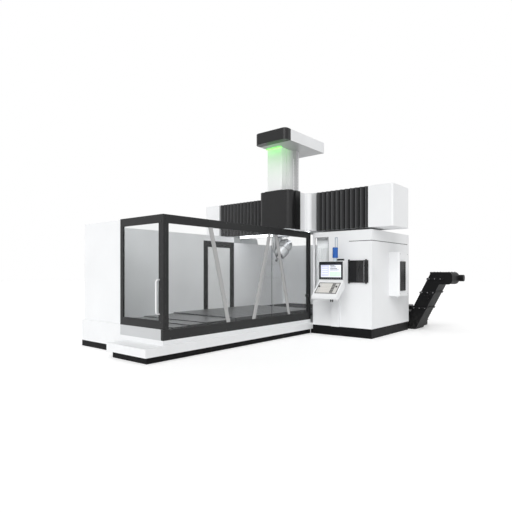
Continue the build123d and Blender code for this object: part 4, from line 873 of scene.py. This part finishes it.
seal_width, bar_half = 0.012, 0.0475
bar_seals = (
    ("bar_seals_front", "side_door_front", "side_door_front_glass", 0.008,
     ((-2.937, -3.426), (-2.165, -1.623))),
    ("bar_seal_rear", "side_door_rear", "side_door_rear_glass", 0.006, ((-0.855, -1.353),)),
)
bar_low, bar_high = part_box("side_door_front_bars")
bar_height = bar_high.z - bar_low.z
for seal_name, seal_body, glass_node, seal_depth, bars in bar_seals:
    glass_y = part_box(glass_node)[0].y
    seals = bmesh.new()
    for foot_x, head_x in bars:
        before = set(seals.verts)
        add_slab(seals, (0.0, glass_y - seal_depth, 0.0), (seal_width, glass_y, bar_height))
        made = [corner for corner in seals.verts if corner not in before]
        lean = Matrix.Identity(4)
        lean[x_axis][z_axis] = (head_x - foot_x) / bar_height
        bmesh.ops.transform(seals, verts=made, matrix=lean)
        bmesh.ops.translate(seals, verts=made, vec=(foot_x + bar_half, 0.0, bar_low.z))
    make_piece(seal_name, seals, "black_rubber_and_painted_shade", seal_body)

# Brush frame round the ram on the carriage cover
brush_gap, brush_width, brush_lead, brush_edge = 0.006, 0.034, 0.045, 0.003
brush_sink, brush_lift = 0.002, 0.016
brush_reach = brush_gap + brush_width
cover_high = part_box("carriage_cover")[1]
brush_foot, brush_head = cover_high.z - brush_sink, cover_high.z + brush_lift
brush_front = ram_foot.x - brush_lead
brush = bmesh.new()
for side_y in (ram_foot.y - brush_reach, ram_top.y + brush_gap):
    add_slab(brush, (brush_front, side_y, brush_foot),
             (cover_high.x, side_y + brush_width, brush_head), brush_edge)
add_slab(brush, (brush_front, ram_foot.y - brush_reach, brush_foot),
         (ram_foot.x - brush_gap, ram_top.y + brush_reach, brush_head), brush_edge)
make_piece("ram_brush_frame", brush, "black_rubber_and_painted_shade", "carriage")

# Milling head: screws under the crown, beside the yoke
turn_spot = Vector(joints["head_turn"]["pos_m"])
tilt_spot = Vector(joints["head_tilt"]["pos_m"])
spindle_run = Vector(joints["spindle_spin"]["axis"]).normalized()
crown_height, crown_circle, yoke_start = 0.070, 0.182, 0.08
crown_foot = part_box("head_body")[1].z - crown_height
crown_screws = bmesh.new()
for spot in ring_spots(12, crown_circle, "Z", start=15):
    if spot.y < yoke_start:
        add_screw(crown_screws, (turn_spot.x + spot.x, turn_spot.y + spot.y, crown_foot), down,
                  radius=0.012, height=0.010)
make_piece("head_crown_screws", crown_screws, "bolt_steel", "head")

# Bearing cover on the yoke's outer side
yoke_reach, cover_circle = 0.200, 0.092
cover_seat, cover_ring_seat, cover_screw_seat = 0.004, 0.014, 0.012
yoke_face = Vector((tilt_spot.x, turn_spot.y + yoke_reach, tilt_spot.z))
yoke_cover = bmesh.new()
add_drum(yoke_cover, yoke_face + leftward * cover_seat, left, radius=0.118, length=0.016, sides=36,
         top_radius=0.112)
add_ring(yoke_cover, yoke_face + leftward * cover_ring_seat, left, radius=0.050, width=0.006, thickness=0.020)
for spot in ring_spots(8, cover_circle, "Y"):
    add_screw(yoke_cover, yoke_face + spot + leftward * cover_screw_seat, left, radius=0.008, height=0.007)
make_piece("yoke_bearing_cover", yoke_cover, "head_silver", "head")

# Domed housing: its outline from the dome to the spindle's mouth, as radius and distance, then spun
dome_turn, dome_steps, housing_steps = radians(75), 12, 72
dome_back, dome_radius = -0.070, 0.160
mouth_outline = ((dome_radius, 0.110), (0.128, 0.276), (0.104, 0.300), (0.075, 0.300), (0.075, 0.270))
trunnion_reach, trunnion_radius, trunnion_length, trunnion_sides = 0.1097, 0.068, 0.140, 48
weld_distance, sharp_angle = 0.0001, radians(28)
housing = bmesh.new()
first = bmesh.ops.create_vert(housing, co=(dome_radius, 0.0, dome_back))["vert"]
bmesh.ops.spin(housing, geom=first, cent=(0, 0, dome_back), axis=left, dvec=origin, angle=dome_turn,
               steps=dome_steps)
dome_rim = min(housing.verts, key=lambda corner: corner.co.x)
for end, stops in ((dome_rim, ((0.0, dome_rim.co.z),)), (first[0], mouth_outline)):
    for radius, along in stops:
        end = bmesh.ops.extrude_vert_indiv(housing, verts=[end])["verts"][0]
        end.co = (radius, 0.0, along)
bmesh.ops.spin(housing, geom=housing.verts[:] + housing.edges[:], cent=origin, axis=up, dvec=origin,
               angle=full_turn, steps=housing_steps, use_merge=True)
bmesh.ops.remove_doubles(housing, verts=housing.verts, dist=weld_distance)
bmesh.ops.transform(housing, verts=housing.verts, matrix=stand_on(spindle_run, tilt_spot))
trunnion_y = turn_spot.y + trunnion_reach - trunnion_length / 2
add_drum(housing, (tilt_spot.x, trunnion_y, tilt_spot.z), left, trunnion_radius, trunnion_length,
         trunnion_sides)
bmesh.ops.recalc_face_normals(housing, faces=housing.faces)
for face in housing.faces:
    face.smooth = True
head_housing = make_piece("head_housing", housing, "head_silver", "swivel")
head_housing.data.set_sharp_from_angle(angle=sharp_angle)
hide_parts("head_swivel")

# Joint rings, boss and coolant nozzles of the housing
ring_radius, ring_thickness, ring_sides, mouth_joint = 0.1598, 0.0016, 48, 0.108
boss_reach, boss_circle, boss_face, boss_ring_seat = 0.150, 0.054, 0.020, 0.022
nozzle_count, nozzle_start, nozzle_root, nozzle_circle = 6, radians(30), 0.300, 0.088
nut_length, tip_seat, tip_length, tip_shift = 0.014, 0.024, 0.024, 0.001
joint_rings = bmesh.new()
for along, width in ((dome_back, 0.010), (mouth_joint, 0.008)):
    add_ring(joint_rings, tilt_spot + spindle_run * along, spindle_run, ring_radius, width, ring_thickness,
             ring_sides)
make_piece("housing_joint_rings", joint_rings, "black_rubber_and_painted_shade", "swivel")
boss = bmesh.new()
boss_spot = tilt_spot + rightward * boss_reach
add_drum(boss, boss_spot, right, radius=0.074, length=0.040, sides=36, top_radius=0.068)
add_ring(boss, boss_spot + rightward * boss_ring_seat, right, radius=0.030, width=0.006, thickness=0.012,
         sides=32)
for spot in ring_spots(6, boss_circle, "Y"):
    add_screw(boss, boss_spot + spot + rightward * boss_face, right, radius=0.007, height=0.006)
make_piece("housing_boss", boss, "head_silver", "swivel")
nozzles = bmesh.new()
for index in range(nozzle_count):
    arm = Matrix.Rotation(full_turn / nozzle_count * index + nozzle_start, 3, spindle_run) @ leftward
    root = tilt_spot + spindle_run * nozzle_root + arm * nozzle_circle
    nut = root + spindle_run * nut_length / 2
    tip = root + spindle_run * tip_seat - arm * tip_shift
    add_drum(nozzles, nut, spindle_run, radius=0.011, length=nut_length, sides=6)
    add_drum(nozzles, tip, spindle_run, radius=0.006, length=tip_length, sides=12, top_radius=0.003)
make_piece("coolant_nozzles", nozzles, "bolt_steel", "swivel")

# Screws along the black frames
rail_screw_count, rail_screw_start, rail_screw_step, rail_screw_inset = 10, 0.16, 0.46, 0.03
stile_inset_right, stile_inset_left, stile_shares = 0.06, 0.04, (0.06, 0.35, 0.65, 0.94)
frame_low, frame_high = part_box("enclosure_frame")
frame_screws = bmesh.new()
for index in range(rail_screw_count):
    screw_x = frame_low.x + rail_screw_start + index * rail_screw_step
    for screw_z in (frame_low.z + rail_screw_inset, frame_high.z - rail_screw_inset):
        add_screw(frame_screws, (screw_x, frame_low.y, screw_z), right)
make_piece("frame_screws", frame_screws, "black_screw", "frame")
door_low, door_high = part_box("front_door_frame")
door_screws = bmesh.new()
for screw_y in (door_low.y + stile_inset_right, door_high.y - stile_inset_left):
    for share in stile_shares:
        add_screw(door_screws, (door_low.x, screw_y, door_low.z + (door_high.z - door_low.z) * share), front)
make_piece("front_door_screws", door_screws, "black_screw", "front_door")

# Filter louvres on the cabinet's rear doors
slat_count, slat_foot, slat_step = 9, 1.729, 0.032
slat_size, slat_edge, slat_setback = (0.012, 0.32, 0.018), 0.004, 0.034
louvre_places = (-2.50, -1.80)
louvres = bmesh.new()
for door_y in louvre_places:
    for row in range(slat_count):
        slat_z = slat_foot + row * slat_step
        add_block(louvres, (cabinet_high.x - slat_setback, door_y, slat_z), slat_size, slat_edge)
make_piece("rear_door_louvres", louvres, "anthracite", "frame")

# Wiper lips on the way covers
lip_depth, lip_inset, lip_foot, lip_head, lip_edge = 0.007, 0.006, 0.012, 0.001, 0.002
for sheet_node, sheet_body in (("way_cover_inner", "inner_cover"), ("way_cover_outer", "outer_cover"),
                               ("way_cover_table", "table")):
    sheet_low, sheet_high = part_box(sheet_node)
    slab_piece(sheet_node + "_wiper", "black_rubber_and_painted_shade", sheet_body,
               (sheet_low.x - lip_depth, sheet_low.y + lip_inset, sheet_high.z - lip_foot),
               (sheet_low.x, sheet_high.y - lip_inset, sheet_high.z - lip_head), lip_edge)

# Light strip behind the upper rail of the side frame, in its holder
strip_setback, strip_front, strip_rear, strip_z = 0.060, -4.30, -0.25, 2.387
back_depth, back_half = 0.010, 0.025
clip_half, clip_depth, clip_half_height = 0.015, 0.030, 0.027
tube_depth, tube_half = 0.024, 0.019
strip_y = frame_low.y + strip_setback
strip_holder = bmesh.new()
add_slab(strip_holder, (strip_front, strip_y, strip_z - back_half),
         (strip_rear, strip_y + back_depth, strip_z + back_half), edge=0.002)
for end_x in (strip_front, strip_rear):
    add_slab(strip_holder, (end_x - clip_half, strip_y, strip_z - clip_half_height),
             (end_x + clip_half, strip_y + clip_depth, strip_z + clip_half_height), edge=0.003)
make_piece("strip_light_holder", strip_holder, "grip_steel", "frame")
slab_piece("strip_light", "lamp_white", "frame",
           (strip_front + clip_half, strip_y + back_depth, strip_z - tube_half),
           (strip_rear - clip_half, strip_y + tube_depth, strip_z + tube_half), edge=0.005)

# Tool shanks in the magazine's pockets
pocket_count, pocket_circle = 12, 0.1932
collar_radius, shank_radius, shank_tip = 0.021, 0.013, 0.009
collar_length, shank_seat, shank_length, shank_sides = 0.012, 0.024, 0.024, 16
magazine_spot = Vector(joints["magazine_spin"]["pos_m"])
magazine_face = Vector((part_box("tool_magazine")[0].x, magazine_spot.y, magazine_spot.z))
shanks = bmesh.new()
for spot in ring_spots(pocket_count, pocket_circle, "X"):
    root = magazine_face + spot
    add_drum(shanks, root + forward * collar_length / 2, front, collar_radius, collar_length, shank_sides)
    add_drum(shanks, root + forward * shank_seat, front, shank_radius, shank_length, shank_sides, shank_tip)
make_piece("magazine_tools", shanks, "tool_steel", "magazine")

# Pointers on the override knobs
knob_height = 0.0283
pointer_low, pointer_high, pointer_edge = (-0.0015, 0.002, -0.0002), (0.0015, 0.0155, 0.0010), 0.0003
for knob in ("feed_knob", "spindle_knob"):
    knob_joint = joints[knob + "_turn"]
    knob_up = Vector(knob_joint["axis"]).normalized()
    knob_top = Vector(knob_joint["pos_m"]) + knob_up * knob_height
    pointer = bmesh.new()
    add_slab(pointer, pointer_low, pointer_high, pointer_edge)
    bmesh.ops.transform(pointer, verts=pointer.verts, matrix=stand_on(knob_up, knob_top))
    make_piece(knob + "_pointer", pointer, "key_white", knob)

# Conveyor: bolts on the flanges across its incline, and on the cover of its head
incline_foot_z, incline_rise, flange_half = 0.462, 0.981, 0.020
incline_foot_y, incline_run = -2.911, -0.498
underside_y, underside_slope, bolt_shift = -3.034, -0.5076, -0.010
flange_front_x, flange_rear_x = 2.328, 2.972
flange_shares, bolt_shares = (0.08, 0.5, 0.86), (0.12, 0.5, 0.88)
cover_bolts_x, cover_bolts_y = (2.40, 2.65, 2.90), (-3.50, -3.86)
conveyor_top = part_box("conveyor_housing")[1].z
conveyor_bolts = bmesh.new()
for share in flange_shares:
    band_z = incline_foot_z + incline_rise * share + flange_half
    upper_y = incline_foot_y + incline_run * share
    lower_y = underside_y + underside_slope * band_z
    for step in bolt_shares:
        bolt_y = upper_y + (lower_y - upper_y) * step + bolt_shift
        for face_x, way in ((flange_front_x, front), (flange_rear_x, rear)):
            add_screw(conveyor_bolts, (face_x, bolt_y, band_z), way, radius=0.013, height=0.009)
for bolt_x in cover_bolts_x:
    for bolt_y in cover_bolts_y:
        add_screw(conveyor_bolts, (bolt_x, bolt_y, conveyor_top), up, radius=0.012, height=0.008)
make_piece("conveyor_bolts", conveyor_bolts, "bolt_steel", "frame")

# Coolant tank: handles on the lid, pump hoods and their terminal boxes
handle_x, post_z, grip_z, post_spread = 3.508, 0.1825, 0.208, 0.06
post_size, grip_size = (0.016, 0.016, 0.045), (0.020, 0.150, 0.016)
hood_x, hood_lift, terminal_x, terminal_z = 3.30, 0.012, 3.39, 0.445
terminal_size = (0.06, 0.09, 0.09)
handle_places, pump_places = (-1.75, -2.30), (-2.561, -2.043)
tank_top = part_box("coolant_tank")[1].z
tank_fittings = bmesh.new()
for handle_y in handle_places:
    for post_y in (handle_y - post_spread, handle_y + post_spread):
        add_block(tank_fittings, (handle_x, post_y, post_z), post_size, edge=0.003)
    add_block(tank_fittings, (handle_x, handle_y, grip_z), grip_size, edge=0.006)
for pump_y in pump_places:
    add_drum(tank_fittings, (hood_x, pump_y, tank_top + hood_lift), up, radius=0.074, length=0.036, sides=24,
             top_radius=0.060)
    add_block(tank_fittings, (terminal_x, pump_y, terminal_z), terminal_size, edge=0.008)
make_piece("tank_fittings", tank_fittings, "bar_grey", "frame")

# Left column: bolted cover plates in its pockets, each with its ends along X and Z
pocket_depth, cover_plate, cover_inset = 0.060, 0.012, 0.03
column_pockets = (((0.66, 1.41), (0.34, 1.01)), ((0.66, 1.11), (1.29, 2.16)))
cover_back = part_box("left_column")[1].y - pocket_depth
cover_face = cover_back + cover_plate
plates = bmesh.new()
for (low_x, high_x), (low_z, high_z) in column_pockets:
    add_slab(plates, (low_x, cover_back, low_z), (high_x, cover_face, high_z), edge=0.004)
    for screw_x in (low_x + cover_inset, (low_x + high_x) / 2, high_x - cover_inset):
        for screw_z in (low_z + cover_inset, high_z - cover_inset):
            add_screw(plates, (screw_x, cover_face, screw_z), left)
make_piece("column_cover_plates", plates, "wall_grey", "frame")

# Cable chain in the beam's tray: two side walls and a crossbar in each link
link_count, link_start, link_step, link_length, link_height = 40, 0.10, 0.112, 0.104, 0.048
wall_thickness, wall_front, wall_rear = 0.012, 0.356, 0.486
crossbar_y, crossbar_z, tray_depth = (0.030, 0.072), (0.036, 0.044), 0.059
beam_low, beam_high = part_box("crossbeam")
tray_floor = beam_high.z - tray_depth
tray_chain = bmesh.new()
for link in range(link_count):
    link_y = beam_low.y + link_start + link * link_step
    for wall_x in (wall_front, wall_rear):
        add_slab(tray_chain, (wall_x, link_y, tray_floor),
                 (wall_x + wall_thickness, link_y + link_length, tray_floor + link_height), edge=0.003)
    add_slab(tray_chain, (wall_front + wall_thickness, link_y + crossbar_y[0], tray_floor + crossbar_z[0]),
             (wall_rear, link_y + crossbar_y[1], tray_floor + crossbar_z[1]), edge=0.002)
make_piece("beam_tray_chain", tray_chain, "chain_plastic", "frame")

# Screws along the rear guard's ribs, and hinges of the cabinet's rear doors
rib_places, rib_screw_count, rib_screw_foot, rib_screw_step = (-0.96, -0.32, 0.32, 0.96), 7, 0.60, 0.27
hinge_heights = (0.50, 1.22, 1.94)
hinge_inset, hinge_setback, hinge_cap_rise, hinge_sides = 0.060, 0.036, 0.058, 16
guard_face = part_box("rear_guard")[1].x
guard_screws = bmesh.new()
for rib_y in rib_places:
    for row in range(rib_screw_count):
        add_screw(guard_screws, (guard_face, rib_y, rib_screw_foot + row * rib_screw_step), rear)
make_piece("guard_screws", guard_screws, "bolt_steel", "frame")
hinge_x = cabinet_high.x - hinge_setback
door_hinges = bmesh.new()
for hinge_y in (cabinet_low.y + hinge_inset, cabinet_high.y - hinge_inset):
    for hinge_z in hinge_heights:
        add_drum(door_hinges, (hinge_x, hinge_y, hinge_z), up, radius=0.011, length=0.110, sides=hinge_sides)
        for cap_z in (hinge_z - hinge_cap_rise, hinge_z + hinge_cap_rise):
            hinge_cap = (hinge_x, hinge_y, cap_z)
            add_drum(door_hinges, hinge_cap, up, radius=0.013, length=0.008, sides=hinge_sides)
make_piece("rear_door_hinges", door_hinges, "bolt_steel", "frame")

# Cooling unit: door seam, drain stub and screws
seam_inset, seam_width, seam_lift, seam_sink = 0.030, 0.005, 0.0015, 0.002
drain_spot, cooler_screw_inset = Vector((0.09, 0.09, -0.022)), 0.055
cooler_low, cooler_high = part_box("air_conditioner")
cooler_seam = bmesh.new()
add_border(cooler_seam, (cooler_low.x + seam_inset, cooler_low.y - seam_lift, cooler_low.z + seam_inset),
           (cooler_high.x - seam_inset, cooler_low.y + seam_sink, cooler_high.z - seam_inset),
           y_axis, seam_width)
add_drum(cooler_seam, cooler_low + drain_spot, up, radius=0.012, length=0.044, sides=16)
make_piece("cooler_seam", cooler_seam, "white_paint", "frame")
cooler_screws = bmesh.new()
for screw_x in (cooler_low.x + cooler_screw_inset, cooler_high.x - cooler_screw_inset):
    for screw_z in (cooler_low.z + cooler_screw_inset, cooler_high.z - cooler_screw_inset):
        add_screw(cooler_screws, (screw_x, cooler_low.y, screw_z), right, radius=0.009, height=0.004)
make_piece("cooler_screws", cooler_screws, "bolt_steel", "frame")

# Air slots in the rear end of the ram's cap
air_slot_count, air_slot_foot, air_slot_step, air_slot_height = 6, 0.205, 0.026, 0.012
air_slot_inset, air_slot_sink, air_slot_lift = 0.16, 0.004, 0.003
cap_low, cap_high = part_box("ram_cap_rear")
cap_slots = bmesh.new()
for row in range(air_slot_count):
    slot_z = cap_high.z - air_slot_foot + row * air_slot_step
    add_slab(cap_slots, (cap_high.x - air_slot_sink, cap_low.y + air_slot_inset, slot_z),
             (cap_high.x + air_slot_lift, cap_high.y - air_slot_inset, slot_z + air_slot_height), edge=0.002)
make_piece("cap_air_slots", cap_slots, "black_rubber_and_painted_shade", "ram")


# Floor, light and camera

floor_size, floor_tone, floor_glow, floor_shine = 60.0, (0.90, 0.90, 0.90), 0.22, 0.1
fill_strength, first_bounce = 0.58, 0.5
key_energy, key_angle, key_from = 1.8, radians(50), (-0.72, -0.36, 0.60)

floor_shape = bmesh.new()
bmesh.ops.create_grid(floor_shape, x_segments=1, y_segments=1, size=floor_size)
floor_mesh = bpy.data.meshes.new("floor")
floor_shape.to_mesh(floor_mesh)
floor_shape.free()
floor = link_object("floor", floor_mesh)


def white_rays(tree):
    """Mask of the camera, glossy and transmission rays that reach the studio before any diffuse bounce."""
    rays = tree.nodes.new("ShaderNodeLightPath")
    seen = add_math(tree, "MAXIMUM", rays.outputs["Is Camera Ray"], rays.outputs["Is Glossy Ray"])
    through = add_math(tree, "MAXIMUM", seen, rays.outputs["Is Transmission Ray"])
    unbounced = add_math(tree, "LESS_THAN", rays.outputs["Diffuse Depth"], first_bounce)
    return add_math(tree, "MULTIPLY", through, unbounced)


floor_tree, floor_shader = new_material("pale_floor")
cover_with_film(floor_tree, floor_shader, floor_tone, Gloss_Loss=0.6, Drift=0.01)
floor_shader.inputs["Emission Color"].default_value = (*white, 1.0)
floor_light = add_math(floor_tree, "MULTIPLY", white_rays(floor_tree), floor_glow)
floor_tree.links.new(floor_light, floor_shader.inputs["Emission Strength"])
floor_shader.inputs["Specular IOR Level"].default_value = floor_shine
floor_mesh.materials.append(finishes["pale_floor"])

world = bpy.data.worlds.new("studio")
bpy.context.scene.world = world
world.use_nodes = True
sky_tree = world.node_tree
sky = sky_tree.nodes["Background"]
sky.inputs["Color"].default_value = (*white, 1.0)
sky_light = add_range(sky_tree, white_rays(sky_tree), none_to_all, (fill_strength, 1.0))
sky_tree.links.new(sky_light, sky.inputs["Strength"])

key_data = bpy.data.lights.new("key", "SUN")
key_data.energy = key_energy
key_data.angle = key_angle
key = link_object("key", key_data)
key.rotation_euler = Vector(key_from).to_track_quat("Z", "Y").to_euler()

camera_data = bpy.data.cameras.new("camera")
camera_data.lens = camera_lens
camera_data.sensor_width = camera_sensor
camera_data.shift_y = camera_shift_y
camera = link_object("camera", camera_data)
camera.location = camera_place
camera.rotation_euler = Vector(camera_heading).to_track_quat("-Z", "Y").to_euler()
bpy.context.scene.camera = camera
bpy.context.scene.view_settings.view_transform = "Standard"
